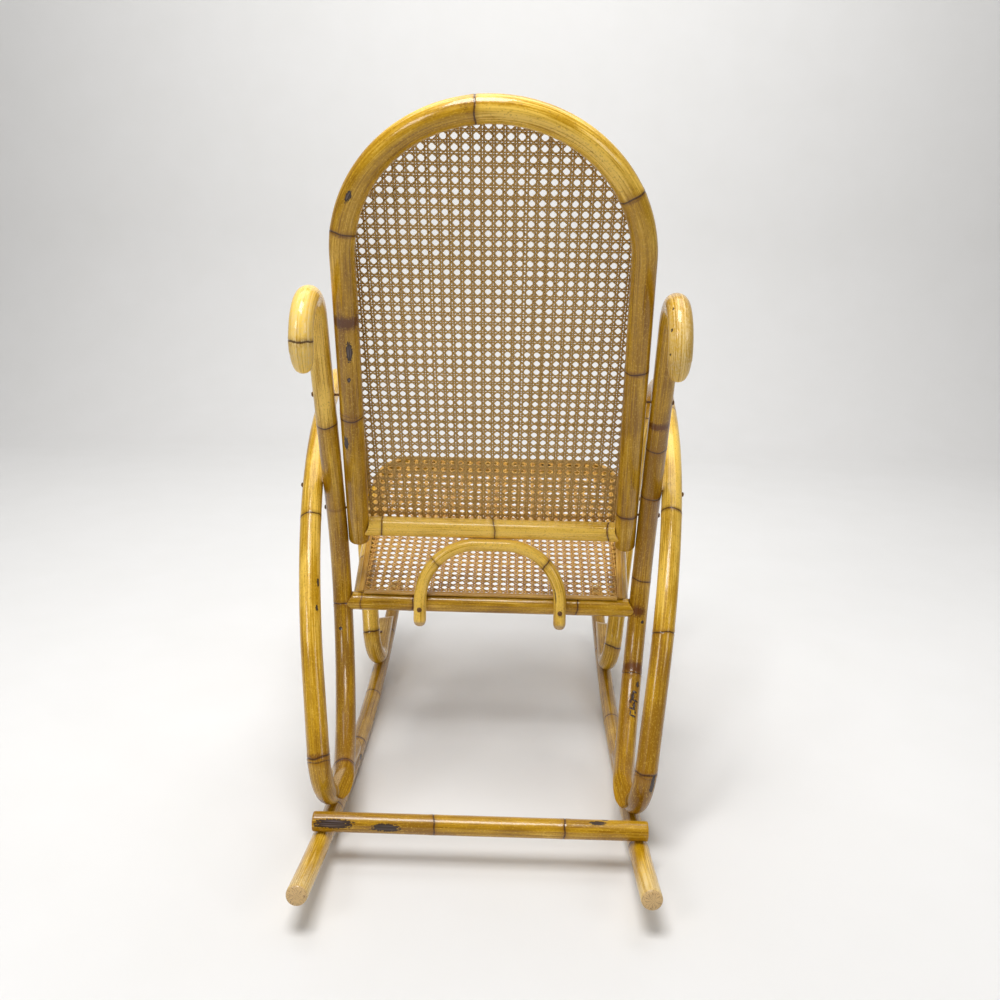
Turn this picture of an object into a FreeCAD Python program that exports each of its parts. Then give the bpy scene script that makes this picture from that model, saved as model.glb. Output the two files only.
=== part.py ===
import FreeCAD, Part
import math
import os

import Sketcher
from FreeCAD import Placement, Rotation, Vector

# Rattan rocking chair, millimetres. The sitter faces -Y, the floor is Z = 0, and the left side is +X.

SIZES = [
    # pole diameters
    ("arch_pole", 37),
    ("upright_pole", 34),
    ("scroll_pole", 34),
    ("rocker_pole", 30),
    ("stretcher_pole", 29),
    ("back_rail_pole", 34),
    ("seat_pole", 32),
    ("brace_pole", 22),
    # room left between two poles that lie against each other
    ("touch_room", 0.3),
    ("crossing_room", 1.2),
    ("foot_room", 0.6),
    # rockers: a front and a rear arc that meet at the lowest point
    ("rocker_half_gap", 236),
    ("rocker_low_y", 7),
    ("rocker_front_radius", 1500),
    ("rocker_rear_radius", 2950),
    ("rocker_front_y", -534),
    ("left_tail_y", 537),
    ("right_tail_y", 519),
    ("stretcher_y", 372),
    ("stretcher_half", 247.5),
    # reclined back: its plane starts at the foot of the arch
    ("back_recline", 24.7),
    ("back_foot_y", 7),
    ("back_foot_z", 396),
    ("arch_foot_half", 233.3),
    ("arch_taper", 2.2),
    ("arch_height", 738.5),
    ("back_rail_up", 28),
    # uprights beside the arch: a curl on top, a straight run and a bow down to the rear
    ("upright_taper", 1.0),
    ("bow_turn", 8),
    ("curl_up", 435),
    ("curl_radius", 55),
    ("curl_tip", 25),
    ("bow_radius", 270),
    ("bow_sweep", 114),
    ("tail_run", 32),
    ("tail_lift", 26),
    ("scarf_angle", 32),
    ("tail_scarf_turn", -40),
    ("scarf_toe", 4),
    ("scarf_tool", 110),
    # side scrolls: heel, rising back, armrest, front bend, ankle and front foot
    ("scroll_rear_foot_y", 120),
    ("heel_contact_y", 268),
    ("heel_y", 358),
    ("heel_radius", 60),
    ("shoulder_y", 140),
    ("shoulder_z", 512),
    ("shoulder_radius", 680),
    ("arm_front_y", -545),
    ("arm_front_z", 734),
    ("arm_front_radius", 125),
    ("ankle_y", -150),
    ("ankle_contact_y", -244),
    ("ankle_radius", 44),
    ("front_foot_y", -390),
    ("crossing_z", 505),
    # seat frame: rear rail on the bows, then a bent hoop that rises to the front
    ("seat_rail_sweep", 39.5),
    ("seat_slope", 16),
    ("seat_depth", 503),
    ("seat_corner_radius", 75),
    # cane sheets and the flat strips that hold their edges
    ("cane_thick", 2.4),
    ("cane_lift", 0.2),
    # the fine mesh of the cane is drawn as a coarse grid of round openings
    ("mesh_pitch", 45),
    ("mesh_opening", 25),
    ("mesh_margin", 20),
    ("seat_dish_half", 205),
    ("seat_dish_deep", 5),
    ("strip_wide", 11),
    ("strip_thick", 3),
    # arched brace behind the seat
    ("brace_half", 122),
    ("brace_radius", 98),
    ("brace_below", 38),
    ("brace_lean_in", 20),
    # fasteners
    ("screw_shank", 4),
    ("screw_head", 8.5),
    ("screw_head_high", 2.6),
    ("screw_grip", 22),
    ("dowel_pin", 10),
    ("dowel_length", 46),
    ("peg_pin", 8),
    ("peg_length", 24),
    ("drill_room", 0.3),
    ("drill_start", 1),
    ("arch_screw_low", 70),
    ("arch_screw_step", 230),
    ("brace_screw_drop", 8),
    ("front_screw_inset", 100),
    ("rear_screw_inset", 45),
    ("seat_peg_in", 18.5),
]

# Values that follow from the sizes above.
FOLLOWS = [
    ("arch_edge", "arch_pole / 2"),
    ("upright_edge", "upright_pole / 2"),
    ("scroll_edge", "scroll_pole / 2"),
    ("seat_edge", "seat_pole / 2"),
    ("back_rail_edge", "back_rail_pole / 2"),
    ("brace_edge", "brace_pole / 2"),
    ("rocker_low_z", "rocker_pole / 2"),
    ("rocker_rear_z", "rocker_low_z + rocker_rear_radius"),
    ("rocker_front_z", "rocker_low_z + rocker_front_radius"),
    ("stretcher_rise", "sqrt(rocker_rear_radius ^ 2 - (stretcher_y - rocker_low_y) ^ 2)"),
    ("stretcher_stack", "(rocker_pole + stretcher_pole) / 2 + touch_room"),
    ("stretcher_lift", "stretcher_stack * rocker_rear_radius / stretcher_rise"),
    ("stretcher_z", "rocker_rear_z - stretcher_rise + stretcher_lift"),
    ("arch_spare", "arch_foot_half * cos(arch_taper) - arch_height * sin(arch_taper)"),
    ("arch_top_radius", "arch_spare / (1 - sin(arch_taper))"),
    ("arch_centre_up", "arch_height - arch_top_radius"),
    ("arch_leg", "(arch_centre_up + arch_top_radius * sin(arch_taper)) / cos(arch_taper)"),
    ("arch_sweep", "180 - 2 * arch_taper"),
    ("arch_heading", "90 + arch_taper"),
    ("back_rail_in", "arch_edge - back_rail_edge"),
    ("upright_foot_half", "arch_foot_half + (arch_edge + upright_edge + touch_room) / cos(arch_taper)"),
    # scroll: both feet lie on the rocker, and the plane leans out to pass the upright
    ("foot_stack", "(rocker_pole + scroll_pole) / 2 + foot_room"),
    ("rear_foot_rise", "sqrt(rocker_rear_radius ^ 2 - (scroll_rear_foot_y - rocker_low_y) ^ 2)"),
    ("rear_foot_z", "rocker_rear_z - rear_foot_rise + foot_stack * rocker_rear_radius / rear_foot_rise"),
    ("heel_rise", "sqrt(rocker_rear_radius ^ 2 - (heel_contact_y - rocker_low_y) ^ 2)"),
    ("heel_contact_z", "rocker_rear_z - heel_rise + foot_stack * rocker_rear_radius / heel_rise"),
    ("heel_grade", "(heel_contact_z - rear_foot_z) / (heel_contact_y - scroll_rear_foot_y)"),
    ("heel_z", "heel_contact_z + heel_grade * (heel_y - heel_contact_y)"),
    ("ankle_rise", "sqrt(rocker_front_radius ^ 2 - (ankle_contact_y - rocker_low_y) ^ 2)"),
    ("ankle_contact_z", "rocker_front_z - ankle_rise + foot_stack * rocker_front_radius / ankle_rise"),
    ("front_foot_rise", "sqrt(rocker_front_radius ^ 2 - (front_foot_y - rocker_low_y) ^ 2)"),
    ("front_foot_z", "rocker_front_z - front_foot_rise + foot_stack * rocker_front_radius / front_foot_rise"),
    ("ankle_grade", "(ankle_contact_z - front_foot_z) / (ankle_contact_y - front_foot_y)"),
    ("ankle_z", "ankle_contact_z + ankle_grade * (ankle_y - ankle_contact_y)"),
    ("crossing_up", "(crossing_z - back_foot_z) / cos(back_recline)"),
    ("crossing_upright_half", "upright_foot_half - crossing_up * tan(upright_taper)"),
    ("crossing_half", "crossing_upright_half + upright_edge + scroll_edge + crossing_room"),
    ("lean_run", "crossing_half - rocker_half_gap"),
    ("lean_rise", "crossing_z - heel_contact_z"),
    ("lean_length", "sqrt(lean_run ^ 2 + lean_rise ^ 2)"),
    ("lean_cos", "lean_rise / lean_length"),
    ("lean_sin", "lean_run / lean_length"),
    ("scroll_base_half", "rocker_half_gap - heel_contact_z * lean_run / lean_rise"),
    ("rear_foot_w", "rear_foot_z / lean_cos"),
    ("heel_w", "heel_z / lean_cos"),
    ("shoulder_w", "shoulder_z / lean_cos"),
    ("arm_front_w", "arm_front_z / lean_cos"),
    ("ankle_w", "ankle_z / lean_cos"),
    ("front_foot_w", "front_foot_z / lean_cos"),
    # upright: the bow turns inward and is lowest where it lies against the scroll's bottom run
    ("tail_low_z", "heel_contact_z + tail_lift"),
    ("bow_tilt", "cos(bow_turn) * sin(back_recline)"),
    ("bow_reach", "sqrt(bow_tilt ^ 2 + cos(back_recline) ^ 2)"),
    ("bow_up", "(tail_low_z - back_foot_z + bow_radius * (bow_tilt + bow_reach)) / cos(back_recline)"),
    ("upright_half_run", "(curl_up - bow_up) / 2"),
    ("upright_middle", "bow_up + upright_half_run"),
    ("curl_tip_in", "2 * curl_radius"),
    ("curl_tip_up", "curl_up - curl_tip"),
    ("half_turn", "180"),
    ("straight_up", "90"),
    ("straight_down", "270"),
    # seat: the rear rail crosses from bow to bow
    ("rail_in", "bow_radius * (1 - cos(seat_rail_sweep))"),
    ("rail_up", "bow_up - bow_radius * sin(seat_rail_sweep)"),
    ("rail_rear", "rail_in * cos(bow_turn)"),
    ("rail_y", "back_foot_y + rail_rear * cos(back_recline) + rail_up * sin(back_recline)"),
    ("rail_z", "back_foot_z - rail_in * bow_tilt + rail_up * cos(back_recline)"),
    ("rail_upright_half", "upright_foot_half - rail_in * sin(bow_turn) - rail_up * tan(upright_taper)"),
    ("seat_rear_half", "rail_upright_half - upright_edge - seat_edge - touch_room"),
    ("scroll_grade", "(arm_front_z - ankle_z) / (arm_front_y - ankle_y)"),
    ("seat_rise", "tan(seat_slope)"),
    ("hang_drop", "rail_z + rail_y * seat_rise - ankle_z + scroll_grade * ankle_y"),
    ("hang_y", "hang_drop / (scroll_grade + seat_rise)"),
    ("hang_z", "rail_z + (rail_y - hang_y) * seat_rise"),
    ("hang_scroll_half", "scroll_base_half + hang_z * lean_run / lean_rise"),
    ("hang_half", "hang_scroll_half - (scroll_edge + crossing_room) / lean_cos - seat_edge"),
    ("hang_in", "(rail_y - hang_y) / cos(seat_slope)"),
    ("seat_front_half", "seat_rear_half + (hang_half - seat_rear_half) * seat_depth / hang_in"),
    ("seat_front_low", "-seat_front_half"),
    ("seat_rear_low", "-seat_rear_half"),
    ("seat_start", "0"),
    # brace: apex under the back rail, legs behind the seat rail
    ("back_rail_y", "back_foot_y + back_rail_up * sin(back_recline) - back_rail_in * cos(back_recline)"),
    ("back_rail_z", "back_foot_z + back_rail_up * cos(back_recline) + back_rail_in * sin(back_recline)"),
    ("apex_stack", "back_rail_edge + brace_edge + touch_room"),
    ("apex_y", "back_rail_y + apex_stack * sin(brace_lean_in)"),
    ("apex_z", "back_rail_z - apex_stack * cos(brace_lean_in)"),
    ("brace_stack", "seat_edge + brace_edge + touch_room"),
    ("brace_span", "sqrt((apex_y - rail_y) ^ 2 + (apex_z - rail_z) ^ 2)"),
    ("brace_low", "-brace_half"),
    ("brace_to_rail", "sqrt(brace_span ^ 2 - brace_stack ^ 2)"),
    ("brace_foot", "-(brace_to_rail + brace_below)"),
    # strips and sheets
    ("strip_half", "strip_wide / 2"),
    ("sheet_half", "arch_foot_half - back_rail_up * tan(arch_taper)"),
    ("sheet_leg", "arch_leg - back_rail_up / cos(arch_taper)"),
    ("strip_grow", "strip_half * (1 + sin(arch_taper)) / cos(arch_taper)"),
    ("strip_out_low", "back_rail_up - strip_half"),
    ("strip_out_half", "sheet_half + strip_grow"),
    ("strip_out_leg", "sheet_leg + strip_grow"),
    ("strip_out_radius", "arch_top_radius + strip_half"),
    ("strip_in_low", "back_rail_up + strip_half"),
    ("strip_in_half", "sheet_half - strip_grow"),
    ("strip_in_leg", "sheet_leg - strip_grow"),
    ("strip_in_radius", "arch_top_radius - strip_half"),
    ("seat_out_start", "-strip_half"),
    ("seat_out_rear", "seat_rear_half + strip_half"),
    ("seat_out_rear_low", "-seat_out_rear"),
    ("seat_out_front", "seat_front_half + strip_half"),
    ("seat_out_front_low", "-seat_out_front"),
    ("seat_out_depth", "seat_depth + strip_half"),
    ("seat_out_radius", "seat_corner_radius + strip_half"),
    ("seat_in_rear", "seat_rear_half - strip_half"),
    ("seat_in_rear_low", "-seat_in_rear"),
    ("seat_in_front", "seat_front_half - strip_half"),
    ("seat_in_front_low", "-seat_in_front"),
    ("seat_in_depth", "seat_depth - strip_half"),
    ("seat_in_radius", "seat_corner_radius - strip_half"),
    ("back_sheet_in", "arch_edge + cane_lift"),
    ("back_strip_in", "back_sheet_in + cane_thick + cane_lift"),
    ("seat_sheet_up", "seat_edge + cane_lift"),
    ("seat_strip_up", "seat_sheet_up + cane_thick + cane_lift"),
    ("mesh_radius", "mesh_opening / 2"),
    ("seat_middle", "seat_depth / 2"),
    ("seat_sheet_top", "seat_sheet_up + cane_thick"),
    ("seat_dish_low", "seat_sheet_up - seat_dish_deep"),
    ("seat_dish_floor", "seat_sheet_top - seat_dish_deep"),
    # fastener radii
    ("shank_radius", "screw_shank / 2"),
    ("shank_hole", "(screw_shank + drill_room) / 2"),
    ("head_radius", "screw_head / 2"),
    ("pin_radius", "dowel_pin / 2"),
    ("pin_hole", "(dowel_pin + drill_room) / 2"),
    ("peg_radius", "peg_pin / 2"),
    ("peg_hole", "(peg_pin + drill_room) / 2"),
    ("arch_cope", "arch_edge + touch_room"),
    ("upright_cope", "upright_edge + crossing_room"),
    ("seat_cope", "seat_edge + touch_room"),
    ("tail_cope", "scroll_pole + 2 * touch_room"),
]

doc = FreeCAD.newDocument("RockingChair")
sheet = doc.addObject("Spreadsheet::Sheet", "Sizes")
for row, (alias, amount) in enumerate(SIZES + [(name, "=" + formula) for name, formula in FOLLOWS], start=1):
    sheet.set("A%d" % row, alias)
    sheet.set("B%d" % row, str(amount))
    sheet.setAlias("B%d" % row, alias)
doc.recompute()


def size(alias):
    return float(sheet.get(alias))


def bind(sketch, kind, where, alias):
    amount = size(alias)
    if kind == "Angle":
        amount = math.radians(amount)
    number = sketch.addConstraint(Sketcher.Constraint(kind, *where, amount))
    sketch.setExpression("Constraints[%d]" % number, "Sizes." + alias)


def origin_plane(body, role):
    return [feature for feature in body.Origin.OriginFeatures if feature.Role == role][0]


def new_sketch(body, role, offset=None):
    sketch = body.newObject("Sketcher::SketchObject", body.Name + "Sketch")
    sketch.AttachmentSupport = [(origin_plane(body, role), "")]
    sketch.MapMode = "FlatFace"
    if offset:
        sketch.setExpression("AttachmentOffset.Base.z", "Sizes." + offset)
    return sketch


def join_tangent(sketch, first, second):
    ends = [(i, j) for i in (1, 2) for j in (1, 2)]
    gaps = [(sketch.getPoint(first, i) - sketch.getPoint(second, j)).Length for i, j in ends]
    i, j = ends[gaps.index(min(gaps))]
    sketch.addConstraint(Sketcher.Constraint("Tangent", first, i, second, j))


# A run of straight stretches through named corners, each corner rounded by its own radius.
def cornered_path(sketch, corners, radii):
    spots = [Vector(size(u), size(v), 0) for u, v in corners]
    edges = []
    last = spots[0]
    for k, radius in enumerate(radii, start=1):
        back = (spots[k - 1] - spots[k]).normalize()
        ahead = (spots[k + 1] - spots[k]).normalize()
        half_turn = (math.pi - back.getAngle(ahead)) / 2
        middle = (back + ahead).normalize()
        reach = size(radius) * math.tan(half_turn)
        peak = spots[k] + middle * (size(radius) / math.cos(half_turn) - size(radius))
        edges.append(sketch.addGeometry(Part.LineSegment(last, spots[k] + back * reach)))
        edges.append(sketch.addGeometry(Part.Arc(spots[k] + back * reach, peak, spots[k] + ahead * reach)))
        last = spots[k] + ahead * reach
    edges.append(sketch.addGeometry(Part.LineSegment(last, spots[-1])))
    for first, second in zip(edges, edges[1:]):
        join_tangent(sketch, first, second)
    for k, radius in enumerate(radii, start=1):
        bind(sketch, "Radius", (edges[2 * k - 1],), radius)
        corner = sketch.addGeometry(Part.Point(spots[k]), True)
        sketch.addConstraint(Sketcher.Constraint("PointOnObject", corner, 1, edges[2 * k - 2]))
        sketch.addConstraint(Sketcher.Constraint("PointOnObject", corner, 1, edges[2 * k]))
        bind(sketch, "DistanceX", (-1, 1, corner, 1), corners[k][0])
        bind(sketch, "DistanceY", (-1, 1, corner, 1), corners[k][1])
    for edge, end, (u, v) in ((edges[0], 1, corners[0]), (edges[-1], 2, corners[-1])):
        bind(sketch, "DistanceX", (-1, 1, edge, end), u)
        bind(sketch, "DistanceY", (-1, 1, edge, end), v)
    return edges


# Straight runs and left-hand bends laid end to end from a start point and a heading.
def bent_path(sketch, start, heading, steps):
    spot = Vector(size(start[0]), size(start[1]), 0)
    angle = math.radians(size(heading))
    edges = []
    for step in steps:
        ahead = Vector(math.cos(angle), math.sin(angle), 0)
        left = Vector(-ahead.y, ahead.x, 0)
        if len(step) == 1:
            target = spot + ahead * size(step[0])
            edges.append(sketch.addGeometry(Part.LineSegment(spot, target)))
        else:
            radius = size(step[0])
            sweep = math.radians(size(step[1]))
            hub = spot + left * radius
            turned = [hub + (ahead * math.sin(a) - left * math.cos(a)) * radius for a in (sweep / 2, sweep)]
            edges.append(sketch.addGeometry(Part.Arc(spot, turned[0], turned[1])))
            target = turned[1]
            angle += sweep
        spot = target
    for first, second in zip(edges, edges[1:]):
        join_tangent(sketch, first, second)
    bind(sketch, "DistanceX", (-1, 1, edges[0], 1), start[0])
    bind(sketch, "DistanceY", (-1, 1, edges[0], 1), start[1])
    bind(sketch, "Angle", (-1, 1, edges[0], 1), heading)
    for edge, step in zip(edges, steps):
        if len(step) == 1:
            bind(sketch, "Distance", (edge,), step[0])
        else:
            bind(sketch, "Radius", (edge,), step[0])
            bind(sketch, "Angle", (edge,), step[1])
    return edges


# The rocker's axis: a rear and a front arc that share the lowest point.
def rocker_path(sketch, tail):
    low = Vector(size("rocker_low_y"), size("rocker_low_z"), 0)
    radii = ("rocker_rear_radius", "rocker_front_radius")
    ends = (tail, "rocker_front_y")
    arcs = []
    for radius, end in zip(radii, ends):
        hub = low + Vector(0, size(radius), 0)
        whole = math.asin((size(end) - low.x) / size(radius))
        points = [hub + Vector(math.sin(a), -math.cos(a), 0) * size(radius) for a in (whole, whole / 2)]
        arcs.append(sketch.addGeometry(Part.Arc(points[0], points[1], low)))
    join_tangent(sketch, arcs[0], arcs[1])
    for arc, radius, end, far in zip(arcs, radii, ends, (2, 1)):
        bind(sketch, "Radius", (arc,), radius)
        bind(sketch, "DistanceX", (-1, 1, arc, 3), "rocker_low_y")
        bind(sketch, "DistanceX", (-1, 1, arc, far), end)
    bind(sketch, "DistanceY", (-1, 1, arcs[0], 1), "rocker_low_z")
    return arcs


# A round pole: a circle carried along a path that is drawn in one plane of the body.
def pole(label, role, draw, thickness, placement):
    body = doc.addObject("PartDesign::Body", label + "_pole")
    path = new_sketch(body, role)
    edges = draw(path)
    doc.recompute()
    ring = body.newObject("Sketcher::SketchObject", body.Name + "Ring")
    ring.AttachmentSupport = [(path, "Edge1")]
    ring.MapMode = "NormalToEdge"
    ring.MapPathParameter = 0.0
    ring.addGeometry(Part.Circle(Vector(), Vector(0, 0, 1), size(thickness) / 2))
    ring.addConstraint(Sketcher.Constraint("Coincident", -1, 1, 0, 3))
    bind(ring, "Diameter", (0,), thickness)
    doc.recompute()
    pipe = body.newObject("PartDesign::AdditivePipe", body.Name + "Pipe")
    pipe.Profile = ring
    pipe.Spine = (path, ["Edge%d" % (k + 1) for k in range(len(edges))])
    body.Placement = placement
    doc.recompute()
    return body


# A straight pole across the chair, named by the half of its length.
def straight_pole(label, thickness, half_length, centre):
    rod = doc.addObject("Part::Cylinder", label)
    rod.setExpression("Radius", "Sizes.%s / 2" % thickness)
    rod.setExpression("Height", "2 * Sizes.%s" % half_length)
    rod.Placement = Placement(centre - Vector(size(half_length), 0, 0), Rotation(Vector(0, 1, 0), 90))
    return rod


def cylinder(label, start, direction, radius, length):
    rod = doc.addObject("Part::Cylinder", label)
    rod.setExpression("Radius", "Sizes." + radius)
    rod.Height = length
    rod.Placement = Placement(start, Rotation(Vector(0, 0, 1), direction))
    return rod


def gather(label, members):
    group = doc.addObject("Part::Compound", label)
    group.Links = members
    return group


def cut_away(label, base, tools):
    cut = doc.addObject("Part::Cut", label)
    cut.Base = base
    cut.Tool = tools[0] if len(tools) == 1 else gather(label + "_tools", tools)
    return cut


def mirrored(label, source):
    twin = doc.addObject("Part::Mirroring", label)
    twin.Source = source
    twin.Normal = Vector(1, 0, 0)
    twin.Base = Vector(0, 0, 0)
    return twin


# Frames that the bent pieces are drawn in.
recline = Rotation(Vector(1, 0, 0), -size("back_recline"))
back_frame = Placement(Vector(0, size("back_foot_y"), size("back_foot_z")), recline)
upright_foot = Vector(size("upright_foot_half"), size("back_foot_y"), size("back_foot_z"))
upright_frame = Placement(upright_foot, recline * Rotation(Vector(0, 1, 0), -size("upright_taper")))
bow_frame = upright_frame * Placement(Vector(), Rotation(Vector(0, 0, 1), size("bow_turn")))
lean = math.degrees(math.atan2(size("lean_run"), size("lean_rise")))
scroll_frame = Placement(Vector(size("scroll_base_half"), 0, 0), Rotation(Vector(0, 1, 0), lean))
left_rocker_frame = Placement(Vector(size("rocker_half_gap"), 0, 0), Rotation())
right_rocker_frame = Placement(Vector(-size("rocker_half_gap"), 0, 0), Rotation())
seat_turned = Rotation(Vector(0, 0, 1), 180) * Rotation(Vector(1, 0, 0), size("seat_slope"))
seat_frame = Placement(Vector(0, size("rail_y"), size("rail_z")), seat_turned)
apex = Vector(0, size("apex_y"), size("apex_z"))
apex_off = math.atan2(size("apex_y") - size("rail_y"), size("apex_z") - size("rail_z"))
brace_swing = math.degrees(math.asin(size("brace_stack") / size("brace_span")) - apex_off)
brace_frame = Placement(apex, Rotation(Vector(1, 0, 0), brace_swing))

# Back arch: two legs that close in slightly, joined by a round top.
arch_steps = [("arch_leg",), ("arch_top_radius", "arch_sweep"), ("arch_leg",)]
arch_start = ("arch_foot_half", "seat_start")


def arch_path(sketch):
    return bent_path(sketch, arch_start, "arch_heading", arch_steps)


arch_pole = pole("arch", "XZ_Plane", arch_path, "arch_pole", back_frame)

# Left upright: a curl and half of the straight run, then the other half and a bow turned inward.
curl_steps = [("curl_tip",), ("curl_radius", "half_turn"), ("upright_half_run",)]
bow_steps = [("upright_half_run",), ("bow_radius", "bow_sweep"), ("tail_run",)]
curl_start = ("curl_tip_in", "curl_tip_up")
bow_start = ("seat_start", "upright_middle")


def curl_path(sketch):
    return bent_path(sketch, curl_start, "straight_up", curl_steps)


def bow_path(sketch):
    return bent_path(sketch, bow_start, "straight_down", bow_steps)


curl_pole = pole("curl", "YZ_Plane", curl_path, "upright_pole", upright_frame)
bow_pole = pole("bow", "YZ_Plane", bow_path, "upright_pole", bow_frame)
upright_pole = doc.addObject("Part::Fuse", "upright_stock")
upright_pole.Base = curl_pole
upright_pole.Tool = bow_pole

# Left side scroll: one pole from its rear foot over the armrest to its front foot.
scroll_corners = [
    ("scroll_rear_foot_y", "rear_foot_w"),
    ("heel_y", "heel_w"),
    ("shoulder_y", "shoulder_w"),
    ("arm_front_y", "arm_front_w"),
    ("ankle_y", "ankle_w"),
    ("front_foot_y", "front_foot_w"),
]
scroll_radii = ["heel_radius", "shoulder_radius", "arm_front_radius", "ankle_radius"]


def scroll_path(sketch):
    return cornered_path(sketch, scroll_corners, scroll_radii)


scroll_pole = pole("scroll", "YZ_Plane", scroll_path, "scroll_pole", scroll_frame)
scroll_clear = pole("scroll_clear", "YZ_Plane", scroll_path, "tail_cope", scroll_frame)

# Rockers: the left one runs a little further to the rear than the right one.
def left_rocker_path(sketch):
    return rocker_path(sketch, "left_tail_y")


def right_rocker_path(sketch):
    return rocker_path(sketch, "right_tail_y")


left_stock = pole("left_rocker", "YZ_Plane", left_rocker_path, "rocker_pole", left_rocker_frame)
right_stock = pole("right_rocker", "YZ_Plane", right_rocker_path, "rocker_pole", right_rocker_frame)

# Seat hoop: side rails and front rail bent from one pole.
seat_corners = [
    ("seat_rear_half", "seat_start"),
    ("seat_front_half", "seat_depth"),
    ("seat_front_low", "seat_depth"),
    ("seat_rear_low", "seat_start"),
]
seat_radii = ["seat_corner_radius", "seat_corner_radius"]


def seat_path(sketch):
    return cornered_path(sketch, seat_corners, seat_radii)


seat_pole = pole("seat", "XY_Plane", seat_path, "seat_pole", seat_frame)

brace_corners = [
    ("brace_half", "brace_foot"),
    ("brace_half", "seat_start"),
    ("brace_low", "seat_start"),
    ("brace_low", "brace_foot"),
]


def brace_path(sketch):
    return cornered_path(sketch, brace_corners, ["brace_radius", "brace_radius"])


brace_pole = pole("brace", "XZ_Plane", brace_path, "brace_pole", brace_frame)
doc.recompute()

# Straight rails, coped to the poles that they run between.
sideways = Vector(1, 0, 0)
upward = Vector(0, 0, 1)
up_back = recline.multVec(upward)


def both_sides(spot):
    return [spot, Vector(-spot.x, spot.y, spot.z)]


def cope_pair(label, spot, direction, radius, reach):
    tools = []
    for side, centre in zip((1, -1), both_sides(spot)):
        along = Vector(side * direction.x, direction.y, direction.z)
        tools.append(cylinder(label, centre - along * reach, along, radius, 2 * reach))
    return tools


leg_run = Vector(-math.sin(math.radians(size("arch_taper"))), 0, 1)
leg_way = back_frame.Rotation.multVec(leg_run).normalize()
leg_spot = back_frame.multVec(Vector(size("sheet_half"), 0, size("back_rail_up")))
back_rail_spot = Vector(0, size("back_rail_y"), size("back_rail_z"))
back_rail_rod = straight_pole("back_rail_rod", "back_rail_pole", "sheet_half", back_rail_spot)
leg_copes = cope_pair("leg_cope", leg_spot, leg_way, "arch_cope", size("arch_pole"))
back_rail_coped = cut_away("back_rail_coped", back_rail_rod, leg_copes)

sweep = math.radians(size("seat_rail_sweep"))
bow_way = bow_frame.Rotation.multVec(Vector(0, -math.sin(sweep), math.cos(sweep)))
bow_spot = bow_frame.multVec(Vector(0, size("rail_in"), size("rail_up")))
seat_rail_spot = Vector(0, size("rail_y"), size("rail_z"))
seat_rail_rod = straight_pole("seat_rail_rod", "seat_pole", "rail_upright_half", seat_rail_spot)
bow_copes = cope_pair("bow_cope", bow_spot, bow_way, "upright_cope", size("upright_pole"))
seat_rail_coped = cut_away("seat_rail_coped", seat_rail_rod, bow_copes)

seat_rail_hollow = cylinder(
    "seat_rail_hollow",
    seat_rail_spot - sideways * size("rail_upright_half"),
    sideways,
    "seat_cope",
    2 * size("rail_upright_half"),
)
seat_hoop_coped = cut_away("seat_hoop_coped", seat_pole, [seat_rail_hollow])

stretcher_spot = Vector(0, size("stretcher_y"), size("stretcher_z"))
stretcher_rod = straight_pole("stretcher_rod", "stretcher_pole", "stretcher_half", stretcher_spot)


# Slanting cut across the end of a pole: a block whose lower face is the cut.
def scarf_block(label, frame, end, ahead, above, edge):
    angle = math.radians(size("scarf_angle"))
    slope = above * math.sin(angle) - ahead * math.cos(angle)
    normal = above * math.cos(angle) + ahead * math.sin(angle)
    toe = end - above * (size(edge) - size("scarf_toe"))
    block = doc.addObject("Part::Box", label)
    for side in ("Length", "Width", "Height"):
        block.setExpression(side, "Sizes.scarf_tool")
    across = normal.cross(slope)
    corner = toe - slope * size(edge) - across * (size("scarf_tool") / 2)
    block.Placement = frame * Placement(corner, Rotation(slope, across, normal, "ZXY"))
    return block


turned = math.radians(size("bow_sweep"))
tail_way = Vector(0, math.sin(turned), -math.cos(turned))
tail_above = Vector(0, math.cos(turned), math.sin(turned))
bow_hub = Vector(0, size("bow_radius"), size("bow_up"))
bow_end = bow_hub - tail_above * size("bow_radius")
tail_end = bow_end + tail_way * size("tail_run")
cut_above = Rotation(tail_way, size("tail_scarf_turn")).multVec(tail_above)
tail_scarf = scarf_block("tail_scarf", bow_frame, tail_end, tail_way, cut_above, "upright_edge")

foot_end = Vector(0, size("front_foot_y"), size("front_foot_w"))
foot_way = (foot_end - Vector(0, size("ankle_y"), size("ankle_w"))).normalize()
foot_above = foot_way.cross(Vector(1, 0, 0))
foot_scarf = scarf_block("foot_scarf", scroll_frame, foot_end, foot_way, foot_above, "scroll_edge")


# Flat pieces: closed outlines raised by a thickness.
def close_outline(sketch, edges):
    first = edges[0]
    last = edges[-1]
    line = sketch.addGeometry(Part.LineSegment(sketch.getPoint(last, 2), sketch.getPoint(first, 1)))
    sketch.addConstraint(Sketcher.Constraint("Coincident", last, 2, line, 1))
    sketch.addConstraint(Sketcher.Constraint("Coincident", line, 2, first, 1))


def flat_piece(label, role, outlines, offset, thickness, placement):
    body = doc.addObject("PartDesign::Body", label)
    sketch = new_sketch(body, role, offset)
    for draw in outlines:
        close_outline(sketch, draw(sketch))
    doc.recompute()
    pad = body.newObject("PartDesign::Pad", label + "_pad")
    pad.Profile = sketch
    pad.setExpression("Length", "Sizes." + thickness)
    body.Placement = placement
    return body


def back_outline(half, low, leg, radius):
    steps = [(leg,), (radius, "arch_sweep"), (leg,)]
    return lambda sketch: bent_path(sketch, (half, low), "arch_heading", steps)


def seat_outline(rear, rear_low, front, front_low, start, depth, radius):
    corners = [(rear, start), (front, depth), (front_low, depth), (rear_low, start)]
    return lambda sketch: cornered_path(sketch, corners, [radius, radius])


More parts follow.
